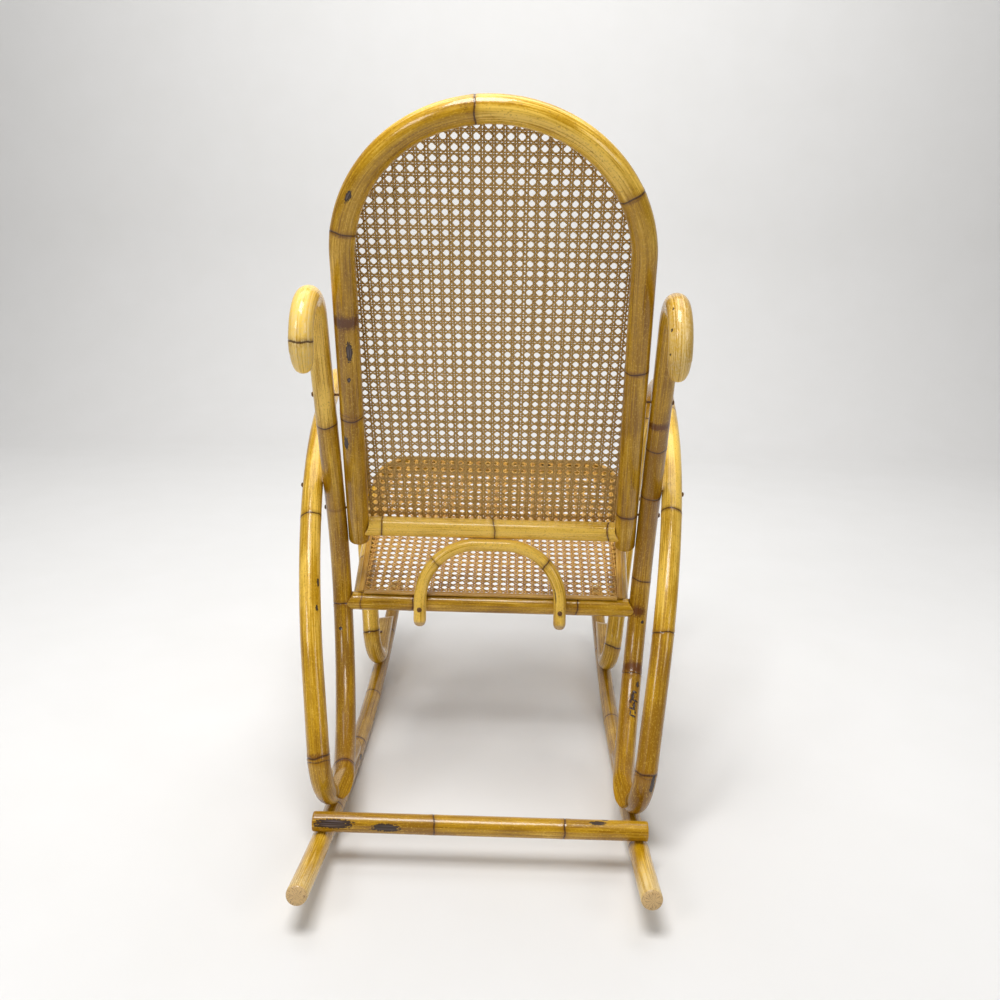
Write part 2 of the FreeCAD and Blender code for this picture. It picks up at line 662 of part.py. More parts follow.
back_sheet = back_outline("sheet_half", "back_rail_up", "sheet_leg", "arch_top_radius")
back_strip_out = back_outline("strip_out_half", "strip_out_low", "strip_out_leg", "strip_out_radius")
back_strip_in = back_outline("strip_in_half", "strip_in_low", "strip_in_leg", "strip_in_radius")
back_plain = flat_piece("back_plain", "XZ_Plane", [back_sheet], "back_sheet_in", "cane_thick", back_frame)
back_binding = flat_piece(
    "back_binding", "XZ_Plane", [back_strip_out, back_strip_in], "back_strip_in", "strip_thick", back_frame
)

seat_sheet = seat_outline(
    "seat_rear_half",
    "seat_rear_low",
    "seat_front_half",
    "seat_front_low",
    "seat_start",
    "seat_depth",
    "seat_corner_radius",
)
seat_strip_out = seat_outline(
    "seat_out_rear",
    "seat_out_rear_low",
    "seat_out_front",
    "seat_out_front_low",
    "seat_out_start",
    "seat_out_depth",
    "seat_out_radius",
)
seat_strip_in = seat_outline(
    "seat_in_rear",
    "seat_in_rear_low",
    "seat_in_front",
    "seat_in_front_low",
    "strip_half",
    "seat_in_depth",
    "seat_in_radius",
)
seat_plain = flat_piece("seat_plain", "XY_Plane", [seat_sheet], "seat_sheet_up", "cane_thick", seat_frame)
seat_binding = flat_piece(
    "seat_binding", "XY_Plane", [seat_strip_out, seat_strip_in], "seat_strip_up", "strip_thick", seat_frame
)


# Shallow round dish in the middle of the seat's sheet: two arcs turned about an upright axis.
def dish(label, placement):
    body = doc.addObject("PartDesign::Body", label)
    sketch = new_sketch(body, "XZ_Plane")
    half = size("seat_dish_half")
    deep = size("seat_dish_deep")
    bend = (half ** 2 + deep ** 2) / (2 * deep)
    middle = math.asin(half / bend) / 2
    arcs = []
    for floor, rim in (("seat_dish_low", "seat_sheet_up"), ("seat_dish_floor", "seat_sheet_top")):
        low = Vector(0, size(floor), 0)
        between = low + Vector(bend * math.sin(middle), bend * (1 - math.cos(middle)), 0)
        arc = sketch.addGeometry(Part.Arc(low, between, Vector(half, size(rim), 0)))
        for spot in (1, 3):
            sketch.addConstraint(Sketcher.Constraint("PointOnObject", arc, spot, -2))
        bind(sketch, "DistanceY", (-1, 1, arc, 1), floor)
        bind(sketch, "DistanceX", (-1, 1, arc, 2), "seat_dish_half")
        bind(sketch, "DistanceY", (-1, 1, arc, 2), rim)
        arcs.append(arc)
    for end in (1, 2):
        low, top = [sketch.getPoint(arc, end) for arc in arcs]
        line = sketch.addGeometry(Part.LineSegment(low, top))
        sketch.addConstraint(Sketcher.Constraint("Coincident", arcs[0], end, line, 1))
        sketch.addConstraint(Sketcher.Constraint("Coincident", line, 2, arcs[1], end))
    doc.recompute()
    turn = body.newObject("PartDesign::Revolution", label + "_turn")
    turn.Profile = sketch
    turn.ReferenceAxis = (sketch, ["V_Axis"])
    turn.setExpression("Angle", "2 * Sizes.half_turn")
    body.Placement = placement
    return body


# Room from a spot to the edge of the back's sheet, and to the sides of the seat at its narrow end.
def back_room(x, up):
    over = up - size("arch_centre_up")
    if over > 0:
        return size("arch_top_radius") - math.hypot(x, over)
    return size("arch_foot_half") - up * math.tan(math.radians(size("arch_taper"))) - abs(x)


def seat_room(x, deep):
    return size("seat_rear_half") - abs(x)


# Spots of the coarse mesh: a square grid about the middle line, clear of the sheet's edges.
def mesh_spots(room_at, low, high):
    pitch = size("mesh_pitch")
    clear = size("mesh_margin") + size("mesh_radius")
    rows = int((high - low - 2 * clear) / pitch)
    first = (low + high - rows * pitch) / 2
    spots = []
    for row in range(rows + 1):
        along = first + row * pitch
        columns = int((room_at(0, along) - clear) / pitch)
        for column in range(-columns, columns + 1):
            if room_at(column * pitch, along) >= clear:
                spots.append((column * pitch, along))
    return spots


def mesh_holes(label, frame, starts, way, length):
    turned_way = frame.Rotation.multVec(way)
    return [cylinder(label, frame.multVec(start), turned_way, "mesh_radius", length) for start in starts]


drill = size("drill_start")
back_mesh_spots = mesh_spots(back_room, size("back_rail_up"), size("arch_height"))
back_starts = [Vector(x, drill - size("back_sheet_in"), up) for x, up in back_mesh_spots]
back_length = size("cane_thick") + 2 * drill
back_holes = mesh_holes("back_mesh", back_frame, back_starts, Vector(0, -1, 0), back_length)
back_cane = cut_away("back_cane", back_plain, back_holes)

seat_mesh_spots = mesh_spots(seat_room, size("seat_start"), size("seat_depth"))
seat_starts = [Vector(x, deep, size("seat_dish_low") - drill) for x, deep in seat_mesh_spots]
seat_length = size("seat_dish_deep") + size("cane_thick") + 2 * drill
seat_holes = mesh_holes("seat_mesh", seat_frame, seat_starts, Vector(0, 0, 1), seat_length)
dish_frame = seat_frame * Placement(Vector(0, size("seat_middle"), 0), Rotation())
dish_start = dish_frame.multVec(Vector(0, 0, size("seat_dish_low")))
dish_hole = cylinder(
    "dish_hole", dish_start, dish_frame.Rotation.multVec(Vector(0, 0, 1)), "seat_dish_half", seat_length
)
seat_sunk = doc.addObject("Part::Fuse", "seat_sunk")
seat_sunk.Base = cut_away("seat_ring", seat_plain, [dish_hole])
seat_sunk.Tool = dish("seat_dish", dish_frame)
seat_cane = cut_away("seat_cane", seat_sunk, seat_holes)


# A screw stands on the crest of a pole: a round head outside and a plain shank inward.
def screw(label, crest, inward, length):
    head = cylinder(label + "_head", crest - inward * size("screw_head_high"), inward, "head_radius", 0)
    head.setExpression("Height", "Sizes.screw_head_high")
    shank = cylinder(label + "_shank", crest, inward, "shank_radius", length)
    whole = doc.addObject("Part::Fuse", label)
    whole.Base = head
    whole.Tool = shank
    return whole


def mirror_way(way):
    return Vector(-way.x, way.y, way.z)


def screw_group(label, spots):
    screws = []
    for crest, inward, length in spots:
        screws.append(screw(label + "_one", crest, inward, length))
        twin = Vector(-crest.x, crest.y, crest.z)
        screws.append(screw(label + "_one", twin, mirror_way(inward), length))
    return gather(label, screws)


def shank_holes(label, spots):
    start = size("drill_start")
    return [
        cylinder(label, crest - inward * start, inward, "shank_hole", length + start + size("drill_room"))
        for crest, inward, length in spots
    ]


def twins(spots):
    return [(Vector(-crest.x, crest.y, crest.z), mirror_way(way), length) for crest, way, length in spots]


inward = Vector(-1, 0, 0)
room = size("touch_room")
through_scroll = size("scroll_pole") + size("screw_grip")
through_upright = size("upright_pole") + size("screw_grip")

crossing_y = size("back_foot_y") + size("crossing_up") * math.sin(math.radians(size("back_recline")))
scroll_in = scroll_frame.Rotation.multVec(inward)
scroll_out = scroll_in * (size("scroll_edge") + room)
crossing_axis = Vector(size("crossing_half"), crossing_y, size("crossing_z"))
hang_axis = Vector(size("hang_scroll_half"), size("hang_y"), size("hang_z"))
crossing_spots = [(crossing_axis - scroll_out, scroll_in, through_scroll)]
seat_spots = [(hang_axis - scroll_out, scroll_in, through_scroll)]
arch_spots = []
for step in range(2):
    up = size("arch_screw_low") + step * size("arch_screw_step")
    axis = upright_frame.multVec(Vector(0, 0, up))
    arch_spots.append((axis + sideways * (size("upright_edge") + room), inward, through_upright))

brace_screw_z = -(size("brace_to_rail") + size("brace_screw_drop"))
brace_out = Vector(size("brace_half"), size("brace_edge") + room, brace_screw_z)
brace_way = brace_frame.Rotation.multVec(Vector(0, -1, 0))
brace_spots = [(brace_frame.multVec(brace_out), brace_way, size("brace_pole") + size("screw_grip"))]


# Point on the axis of a scroll foot, by its distance front to rear.
def foot_axis(y, first, second):
    share = (y - size(first[0])) / (size(second[0]) - size(first[0]))
    w = size(first[1]) + share * (size(second[1]) - size(first[1]))
    return scroll_frame.multVec(Vector(0, y, w))


front_screw_y = size("front_foot_y") + size("front_screw_inset")
rear_screw_y = size("scroll_rear_foot_y") + size("rear_screw_inset")
front_foot = foot_axis(front_screw_y, ("front_foot_y", "front_foot_w"), ("ankle_y", "ankle_w"))
rear_foot = foot_axis(rear_screw_y, ("scroll_rear_foot_y", "rear_foot_w"), ("heel_y", "heel_w"))
heel_deep = size("heel_y") - size("scroll_rear_foot_y")
heel_run = Vector(0, heel_deep, size("heel_w") - size("rear_foot_w")).normalize()
front_up = scroll_frame.Rotation.multVec(foot_above)
rear_up = scroll_frame.Rotation.multVec(Vector(1, 0, 0).cross(heel_run))
foot_crest = size("scroll_edge") + room
foot_length = size("scroll_pole") + size("rocker_pole") / 2
front_spots = [(front_foot + front_up * foot_crest, front_up * -1, foot_length)]
rear_spots = [(rear_foot + rear_up * foot_crest, rear_up * -1, foot_length)]

crossing_screws = screw_group("crossing_screws", crossing_spots)
seat_screws = screw_group("seat_screws", seat_spots)
arch_screws = screw_group("arch_screws", arch_spots)
brace_screws = screw_group("brace_screws", brace_spots)
foot_screws = screw_group("foot_screws", front_spots + rear_spots)


# Hidden round pins: dowels in the rail ends and pegs between poles that lie on each other.
def pin_spots(centre, way, length):
    return [(centre - way * (length / 2), way, length)]


def pins(label, spots, radius):
    return [cylinder(label, start, way, radius, length) for start, way, length in spots]


def pin_holes(label, spots, radius):
    gap = size("drill_room")
    return [cylinder(label, start - way * gap, way, radius, length + 2 * gap) for start, way, length in spots]


leg_face = Vector(size("sheet_half") - size("arch_edge"), size("back_rail_y"), size("back_rail_z"))
bow_face = Vector(size("rail_upright_half") - size("upright_edge"), size("rail_y"), size("rail_z"))
back_dowels = pin_spots(leg_face, sideways, size("dowel_length"))
seat_dowels = pin_spots(bow_face, sideways, size("dowel_length"))
left_dowels = back_dowels + seat_dowels
rail_dowels = gather("rail_dowels", pins("rail_dowel", left_dowels + twins(left_dowels), "pin_radius"))

stretcher_low = size("stretcher_z") - size("stretcher_pole") / 2
rocker_top = Vector(size("rocker_half_gap"), size("stretcher_y"), stretcher_low)
tail_axis = bow_frame.multVec(bow_end)
heel_way = scroll_frame.Rotation.multVec(heel_run)
heel_axis = rear_foot + heel_way * (tail_axis - rear_foot).dot(heel_way)
tail_spot = (tail_axis + heel_axis) / 2
tail_peg_way = (tail_axis - heel_axis).normalize()
stretcher_pegs = pin_spots(rocker_top, upward, size("peg_length"))
tail_pegs = pin_spots(tail_spot, tail_peg_way, size("peg_length"))
seat_peg_spot = seat_frame.multVec(Vector(-size("seat_rear_half"), size("seat_peg_in"), 0))
seat_pegs = pin_spots(seat_peg_spot, seat_frame.Rotation.multVec(Vector(0, 1, 0)), size("peg_length"))
left_pegs = stretcher_pegs + tail_pegs + seat_pegs
joint_pegs = gather("joint_pegs", pins("joint_peg", left_pegs + twins(left_pegs), "peg_radius"))

# Finished poles: the bent or straight stock less its holes and end cuts.
arch_holes = pin_holes("arch_bore", back_dowels + twins(back_dowels), "pin_hole")
arch_bores = shank_holes("arch_bore", arch_spots + twins(arch_spots))
back_arch = cut_away("back_arch", arch_pole, arch_holes + arch_bores)
back_rail_holes = pin_holes("back_rail_bore", back_dowels + twins(back_dowels), "pin_hole")
back_bottom_rail = cut_away("back_bottom_rail", back_rail_coped, back_rail_holes)
seat_rail_holes = pin_holes("seat_rail_bore", seat_dowels + twins(seat_dowels), "pin_hole")
seat_rear_rail = cut_away(
    "seat_rear_rail",
    seat_rail_coped,
    seat_rail_holes
    + shank_holes("seat_rail_bore", brace_spots + twins(brace_spots))
    + pin_holes("seat_rail_bore", seat_pegs + twins(seat_pegs), "peg_hole"),
)
seat_hoop = cut_away(
    "seat_hoop",
    seat_hoop_coped,
    shank_holes("seat_bore", seat_spots + twins(seat_spots))
    + pin_holes("seat_bore", seat_pegs + twins(seat_pegs), "peg_hole"),
)
brace_holes = shank_holes("brace_bore", brace_spots + twins(brace_spots))
brace_arch = cut_away("brace_arch", brace_pole, brace_holes)
stretcher_holes = pin_holes("stretcher_bore", stretcher_pegs + twins(stretcher_pegs), "peg_hole")
rear_stretcher = cut_away("rear_stretcher", stretcher_rod, stretcher_holes)
upright_coped = cut_away("upright_coped", upright_pole, [scroll_clear])
upright_cut = cut_away("upright_cut", upright_coped, [tail_scarf])
left_upright = cut_away(
    "left_upright",
    upright_cut,
    shank_holes("upright_bore", crossing_spots + arch_spots)
    + pin_holes("upright_bore", seat_dowels, "pin_hole")
    + pin_holes("upright_bore", tail_pegs, "peg_hole"),
)
left_side_scroll = cut_away(
    "left_side_scroll",
    scroll_pole,
    [foot_scarf]
    + shank_holes("scroll_bore", crossing_spots + seat_spots + front_spots + rear_spots)
    + pin_holes("scroll_bore", tail_pegs, "peg_hole"),
)
foot_spots = front_spots + rear_spots
left_rocker = cut_away(
    "left_rocker",
    left_stock,
    shank_holes("rocker_bore", foot_spots) + pin_holes("rocker_bore", stretcher_pegs, "peg_hole"),
)
right_rocker = cut_away(
    "right_rocker",
    right_stock,
    shank_holes("rocker_bore", twins(foot_spots))
    + pin_holes("rocker_bore", twins(stretcher_pegs), "peg_hole"),
)
doc.recompute()
right_upright = mirrored("right_upright", left_upright)
right_side_scroll = mirrored("right_side_scroll", left_side_scroll)
doc.recompute()

NODES = [
    back_arch,
    back_bottom_rail,
    back_cane,
    back_binding,
    left_upright,
    right_upright,
    left_side_scroll,
    right_side_scroll,
    left_rocker,
    right_rocker,
    rear_stretcher,
    seat_rear_rail,
    seat_hoop,
    seat_cane,
    seat_binding,
    brace_arch,
    crossing_screws,
    seat_screws,
    arch_screws,
    brace_screws,
    foot_screws,
    rail_dowels,
    joint_pegs,
]

for piece in doc.Objects:
    if "Invalid" in piece.State or "Error" in piece.State:
        raise RuntimeError("object in error: " + piece.Label)
for node in NODES:
    if node.Shape.isNull() or not node.Shape.isValid():
        raise RuntimeError("shape not valid: " + node.Label)

os.makedirs("parts", exist_ok=True)
for node in NODES:
    node.Shape.exportStep("parts/%s.step" % node.Label)
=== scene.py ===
import bpy
import math
import numpy as np
from mathutils import Matrix, Vector


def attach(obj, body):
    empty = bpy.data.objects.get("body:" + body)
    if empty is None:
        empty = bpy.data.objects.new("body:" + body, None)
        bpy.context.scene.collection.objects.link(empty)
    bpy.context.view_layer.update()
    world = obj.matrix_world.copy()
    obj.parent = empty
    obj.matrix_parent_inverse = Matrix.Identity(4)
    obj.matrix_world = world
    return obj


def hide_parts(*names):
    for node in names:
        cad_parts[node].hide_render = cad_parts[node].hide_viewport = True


# Rattan rocking chair. Sizes are written in millimetres and become metres when a mesh is made.
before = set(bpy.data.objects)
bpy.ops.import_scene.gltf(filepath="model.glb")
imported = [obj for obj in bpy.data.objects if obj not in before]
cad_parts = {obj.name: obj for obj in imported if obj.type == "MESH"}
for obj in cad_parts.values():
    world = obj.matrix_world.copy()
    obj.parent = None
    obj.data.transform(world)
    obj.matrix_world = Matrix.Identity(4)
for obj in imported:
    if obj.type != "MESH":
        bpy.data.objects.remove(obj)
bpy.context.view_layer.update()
mm = 0.001
scene = bpy.context.scene
print("frame loaded:", len(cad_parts), "nodes")


def tint(red, green, blue):  # written as on a colour chart, 0 to 255
    part = np.array([red, green, blue]) / 255
    linear = np.where(part < 0.0405, part / 12.92, ((part + 0.055) / 1.055) ** 2.4)
    return (float(linear[0]), float(linear[1]), float(linear[2]), 1.0)


def turned(axis, degrees):
    return np.array(Matrix.Rotation(math.radians(degrees), 3, axis))


# ramp from 0 to 1 with soft ends: 3t^2 - 2t^3
def soft(low, high, value):
    t = np.clip((value - low) / (high - low), 0, 1)
    return t * t * (3 - 2 * t)


# paths
# Straight runs and left-hand bends laid end to end.
# A bend is hub + radius * (ahead * sin a - left * cos a) while a grows to the sweep.
def bentPath(start, heading, steps, gap=0.5):
    spot = np.array(start, float)
    angle = math.radians(heading)
    runs = [spot[None]]
    for step in steps:
        ahead = np.array([math.cos(angle), math.sin(angle)])
        left = np.array([-ahead[1], ahead[0]])
        if len(step) == 1:
            part = spot + np.linspace(0, step[0], max(int(step[0] / gap), 2))[1:, None] * ahead
        else:
            radius, sweep = step[0], math.radians(step[1])
            a = np.linspace(0, sweep, int(radius * sweep / gap))[1:, None]
            part = spot + left * radius + radius * (np.sin(a) * ahead - np.cos(a) * left)
            angle += sweep
        runs.append(part)
        spot = part[-1]
    return np.vstack(runs)


# Corners joined by straight runs, each rounded by an arc that touches both of its runs.
def corneredPath(corners, radii, gap=0.5):
    spots = np.array(corners, float)
    pieces = [spots[0]]
    for corner, before, after, radius in zip(spots[1:-1], spots[:-2], spots[2:], radii):
        back = (before - corner) / np.linalg.norm(before - corner)
        ahead = (after - corner) / np.linalg.norm(after - corner)
        half = (math.pi - math.acos(back @ ahead)) / 2
        middle = (back + ahead) / np.linalg.norm(back + ahead)
        across = (ahead - back) / np.linalg.norm(ahead - back)
        a = np.linspace(-half, half, int(2 * half * radius / gap))[:, None]
        hub = corner + middle * radius / math.cos(half)
        pieces.append(hub + radius * (np.sin(a) * across - np.cos(a) * middle))
    pieces.append(spots[-1])
    rough = np.vstack(pieces)
    return alongPath(rough, np.arange(0, pathLength(rough)[-1], gap))


def pathLength(points):
    return np.concatenate([[0], np.cumsum(np.linalg.norm(np.diff(points, axis=0), axis=1))])


def alongPath(points, stations):
    length = pathLength(points)
    return np.stack([np.interp(stations, length, column) for column in points.T], axis=1)


# a drawing plane's two axes, and where that plane stands in the chair
planes = {"xz": ((1, 0, 0), (0, 0, 1)), "yz": ((0, 1, 0), (0, 0, 1)), "xy": ((1, 0, 0), (0, 1, 0))}


def placed(points, plane, spot, turning):
    first, second = np.array(planes[plane], float)
    return np.array(spot) + (points[:, :1] * first + points[:, 1:] * second) @ turning.T


def planeSide(plane, turning):
    first, second = np.array(planes[plane], float)
    return turning @ np.cross(first, second)


# the same piece on the other side of the chair
def otherSide(path, side):
    flip = np.array([-1, 1, 1])
    return path * flip, -side * flip


# a straight pole across the chair, from its left to its right
def crossPath(dims):
    return np.array([[dims["half"], dims["y"], dims["z"]]]) * np.linspace([1, 1, 1], [-1, 1, 1], 900)


# poles
# ends: pairs of depth from the tip and share of the full radius
poleEnds = {
    "flat": [(0, 0.3), (0, 0.62), (0, 0.9), (0.25, 0.965), (0.8, 0.99)],
    "worn": [(0, 0.3), (0.15, 0.58), (0.7, 0.8), (1.8, 0.915), (3.6, 0.97), (6, 0.995)],
    "finger": [
        (0, 0.2), (0.7, 0.38), (2.2, 0.54), (4.6, 0.67), (8.5, 0.77), (14, 0.86), (22, 0.93), (32, 0.98),
    ],
    "round": [(0, 0.2), (0.4, 0.4), (1.6, 0.62), (3.6, 0.79), (6.4, 0.91), (9.5, 0.975), (13, 0.998)],
}

# what all poles share: the spacing of the mesh, then node rings, scars, shades and cut ends
poleShape = {
    "gap": 3.0, "closeGap": 1.0, "leastGap": 0.45, "capGap": 0.3, "ringClose": 9, "scarClose": 3,
    "around": 44, "uneven": 0.006, "swell": 0.024, "swellLong": 7, "groove": 0.03, "grooveLong": 1.1,
    "wobble": 0.7, "ripple": 0.45, "ringFar": 20.0, "faint": 3, "scarDeep": 0.55, "shades": 0.3,
    "trimFade": 45, "copeLong": 150,
}


# A hollow end stops sqrt(other^2 - (own * wave(a + turn))^2) short of the axis it sits against.
def hollowEnd(other, own, wave, turn=0):
    return lambda a: np.sqrt(other ** 2 - (own * wave(a + turn)) ** 2)


# A pole's dictionary gives stations in mm from the start of its path and angles in degrees around it.
# rings: station, tilt, strength
# burns and pales: station, angle, long, wide, strength
# scars: station, angle, long, wide
# tone and painted light: station and shade, from -1 for dark to 1 for pale, painted paler where the light
# falls from above and darker low down
# trim: how far both ends are cut back at each angle
# scarf: a slanting cut at the end: the angle it faces, its slope, the height of its toe,
#        where across it the bare face begins (-20 bares all of it, 20 none), and its edge's rounding
# cope: another pole's axis, and how near to it the tail may come


# A rattan pole: a ring of radius r(s, a) carried along the path, s the length run and a the angle around.
# r is the pole's radius, with a swelling and a fine groove at each node ring and a slow natural unevenness.
def poleSurface(path, side, pole):
    dice = np.random.default_rng(pole["seed"])
    length = pathLength(path)
    total = length[-1]
    radius = pole["thick"] / 2
    rings = pole.get("rings", [])
    scars = pole.get("scars", [])
    caps = [np.array(poleEnds[kind]) for kind in pole["ends"]]
    closeUps = [(ring[0], poleShape["ringClose"]) for ring in rings]
    closeUps += [(scar[0], scar[2] + poleShape["scarClose"]) for scar in scars]
    rows = [np.arange(0, total, poleShape["gap"])]
    rows += [np.arange(spot - reach, spot + reach, poleShape["closeGap"]) for spot, reach in closeUps]
    rows = np.unique(np.round(np.concatenate(rows), 1))
    startCap, endCap = [cap[-1, 0] for cap in caps]
    rows = rows[(rows > startCap + poleShape["capGap"]) & (rows < total - endCap - poleShape["capGap"])]
    rows = rows[np.concatenate([[True], np.diff(rows) > poleShape["leastGap"]])]
    s = np.concatenate([caps[0][:, 0], rows, total - caps[1][::-1, 0]])[:, None]
    share = np.concatenate([caps[0][:, 1], np.ones(len(rows)), caps[1][::-1, 1]])[:, None]
    a = np.linspace(0, 2 * math.pi, pole.get("around", poleShape["around"]), endpoint=False)[None]

    # squared distance from the middle of a mark, 1 at the edge of one so long and so wide
    def markGap(spot, angle, long, wide):
        away = np.radians((np.degrees(a) - angle + 180) % 360 - 180) * radius
        return ((s - spot) / long) ** 2 + (away / wide) ** 2

    # marks with soft edges: the strongest one counts at each point
    def softMarks(marks):
        cover = np.zeros(r.shape)
        for spot, angle, long, wide, strength in marks:
            cover = np.maximum(cover, strength * np.exp(-markGap(spot, angle, long, wide)))
        return cover

    # slow unevenness: a few waves along the pole and a slightly oval section
    waves = dice.uniform(-1, 1, (4, 3))
    uneven = sum(w[0] * np.sin(s / (60 + 45 * k) + 6 * w[1] + (k % 3) * a) for k, w in enumerate(waves))
    r = radius * (1 + poleShape["uneven"] * uneven)
    ringGap = np.full(r.shape, poleShape["ringFar"])
    for spot, tilt, strength in rings:
        bend = dice.uniform(-1, 1, 4)
        d = s - spot - tilt * np.cos(a + 3 * bend[0]) - poleShape["wobble"] * np.sin(2 * a + 3 * bend[1])
        d = d - poleShape["ripple"] * np.sin(5 * a + 3 * bend[2])
        swell = poleShape["swell"] * radius * np.exp(-((d / poleShape["swellLong"]) ** 2))
        groove = poleShape["groove"] * radius * np.exp(-((d / poleShape["grooveLong"]) ** 2))
        r = r + strength * (swell - groove)
        ringGap = np.minimum(ringGap, np.abs(d) + poleShape["faint"] * (1 - strength))
    scar = np.full(r.shape, -1.0)
    for mark in scars:
        lens = 1 - np.sqrt(markGap(*mark))
        scar = np.maximum(scar, lens)
        r = r - poleShape["scarDeep"] * soft(0, 0.5, lens)
    burn = softMarks(pole.get("burns", []))
    pale = softMarks(pole.get("pales", []))

    # each stretch between two rings has its own shade, on top of a slow change along the pole that paints
    # in light and shade
    ringSpots = np.sort([ring[0] for ring in rings])
    shades = dice.uniform(-poleShape["shades"], poleShape["shades"], len(ringSpots) + 1)
    spots, values = np.array(pole.get("toneAndPaintedLight", [(0, 0)])).T
    toneAndPaintedLight = np.interp(s, spots, values) + shades[np.searchsorted(ringSpots, s[:, 0])][:, None] + 0 * a
    toneAndPaintedLight = np.clip(toneAndPaintedLight, -1, 1)

    # ends that are cut to fit another pole: the cut's depth fades out along the pole
    moved = s + 0 * a
    if "trim" in pole:
        trim = pole["trim"](a)
        startFade = np.clip(1 - s / poleShape["trimFade"], 0, 1)
        endFade = np.clip(1 - (total - s) / poleShape["trimFade"], 0, 1)
        moved = moved + trim * startFade - trim * endFade

    def carried(values):
        return np.stack([np.interp(moved, length, column) for column in values.T], axis=2)

    # each ring stands square to the path, between the bend's side and its inner direction
    centre = carried(path)
    ahead = carried(np.gradient(path, axis=0))
    ahead = ahead / np.linalg.norm(ahead, axis=2, keepdims=True)
    sides = carried(np.broadcast_to(side, path.shape))
    sides = sides - ahead * np.sum(sides * ahead, axis=2, keepdims=True)
    sides = sides / np.linalg.norm(sides, axis=2, keepdims=True)
    inner = np.cross(sides, ahead)
    high = r * share * np.cos(a)
    wide = r * share * np.sin(a)
    cut = soft(0.985, 0.94, share) + 0 * a
    if "scarf" in pole:  # nothing stands higher than a plane that falls towards the tip
        facing, slope, toe, bareFrom, blend = pole["scarf"]
        c, d = math.cos(math.radians(facing)), math.sin(math.radians(facing))
        up, aside = high * c + wide * d, wide * c - high * d
        plane = toe - radius + (total - s) * math.tan(math.radians(slope)) + 0 * a
        chord = np.sqrt(np.clip((r * share) ** 2 - plane ** 2, 0, None))
        aside = np.where(up > plane, np.clip(aside, -chord, chord), aside)
        up = (up + plane - np.sqrt((up - plane) ** 2 + blend ** 2)) / 2
        high, wide = up * c - aside * d, up * d + aside * c
        bare = soft(-1.2, -0.5, up - plane) * soft(bareFrom - 1, bareFrom + 1, aside)
        cut = np.maximum(cut * (bareFrom < 0), bare)
    points = centre + inner * high[..., None] + sides * wide[..., None]
    if "cope" in pole:  # the tail's points that are too near to the other axis are pushed away from it
        other, room = pole["cope"]
        tail = (total - s[:, 0]) < poleShape["copeLong"]
        gap = points[tail][:, :, None] - other
        nearest = np.argmin(np.sum(gap ** 2, axis=3), axis=2)[..., None, None]
        gap = np.take_along_axis(gap, nearest, axis=2)[:, :, 0]
        far = np.linalg.norm(gap, axis=2, keepdims=True)
        points[tail] += gap / far * np.clip(room - far, 0, None)
    grain = [radius * np.cos(a) + 0 * s + 37 * pole["seed"], radius * np.sin(a) + 0 * s, moved]
    # the wear notes hold pale places, cut faces, and the tone with its painted light and shade
    notes = {
        "grain": np.stack(grain, 2) * mm,
        "marks": np.stack([ringGap / poleShape["ringFar"], burn, 0.5 + 0.5 * np.clip(scar, -1, 1)], 2),
        "wearAndPaintedLight": np.stack([pale, cut, 0.5 + 0.5 * toneAndPaintedLight], 2),
    }
    return closedTube(points, notes)


# Faces of a tube whose rows close on themselves, with a fan of triangles at each end.
def closedTube(points, notes):
    rows, around = points.shape[:2]
    number = np.arange(rows * around).reshape(rows, around)
    after = np.roll(number, -1, axis=1)
    quads = np.stack([number[:-1], after[:-1], after[1:], number[1:]], axis=2).reshape(-1, 4)
    first, last = rows * around, rows * around + 1
    startFan = np.stack([np.full(around, first), after[0], number[0]], axis=1)
    endFan = np.stack([np.full(around, last), number[-1], after[-1]], axis=1)
    middles = np.stack([points[0].mean(axis=0), points[-1].mean(axis=0)])
    verts = np.vstack([points.reshape(-1, 3), middles])
    flat = {}
    for key, values in notes.items():
        ends = np.stack([values[0].mean(axis=0), values[-1].mean(axis=0)])
        flat[key] = np.vstack([values.reshape(-1, 3), ends])
    return verts, quads.tolist() + startFan.tolist() + endFan.tolist(), flat


def addPiece(name, surface, finish, nodes, sharp=None):
    verts, faces, notes = surface
    mesh = bpy.data.meshes.new(name)
    mesh.from_pydata(verts * mm, [], faces)
    for key, values in notes.items():
        note = mesh.attributes.new(key, "FLOAT_VECTOR", "POINT")
        note.data.foreach_set("vector", values.astype(np.float32).ravel())
    mesh.shade_smooth()
    if sharp:
        mesh.set_sharp_from_angle(angle=math.radians(sharp))
    mesh.materials.append(finish)
    piece = bpy.data.objects.new(name, mesh)
    scene.collection.objects.link(piece)
    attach(piece, "root")
    if nodes:
        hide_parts(*nodes)
    return piece


# finishes
def wire(tree, kind, inputs={}, **settings):
    item = tree.nodes.new(kind)
    for key, value in settings.items():
        setattr(item, key, value)
    for key, value in inputs.items():
        if isinstance(value, bpy.types.NodeSocket):
            tree.links.new(value, item.inputs[key])
        else:
            item.inputs[key].default_value = value
    return item


def newFinish(name):
    finish = bpy.data.materials.new(name)
    finish.use_nodes = True
    tree = finish.node_tree
    return finish, tree, tree.nodes["Principled BSDF"]


def blended(tree, share, below, above):
    mix = wire(tree, "ShaderNodeMix", {0: share, 6: below, 7: above}, data_type="RGBA")
    return mix.outputs[2]


def ranged(tree, value, low, high, start=0.0, end=1.0):
    inputs = {"Value": value, "From Min": low, "From Max": high, "To Min": start, "To Max": end}
    return wire(tree, "ShaderNodeMapRange", inputs, interpolation_type="SMOOTHSTEP").outputs[0]


def noted(tree, name):  # an attribute of the piece
    return wire(tree, "ShaderNodeAttribute", attribute_name=name).outputs["Vector"]


def split(tree, vector):
    return wire(tree, "ShaderNodeSeparateXYZ", {0: vector}).outputs


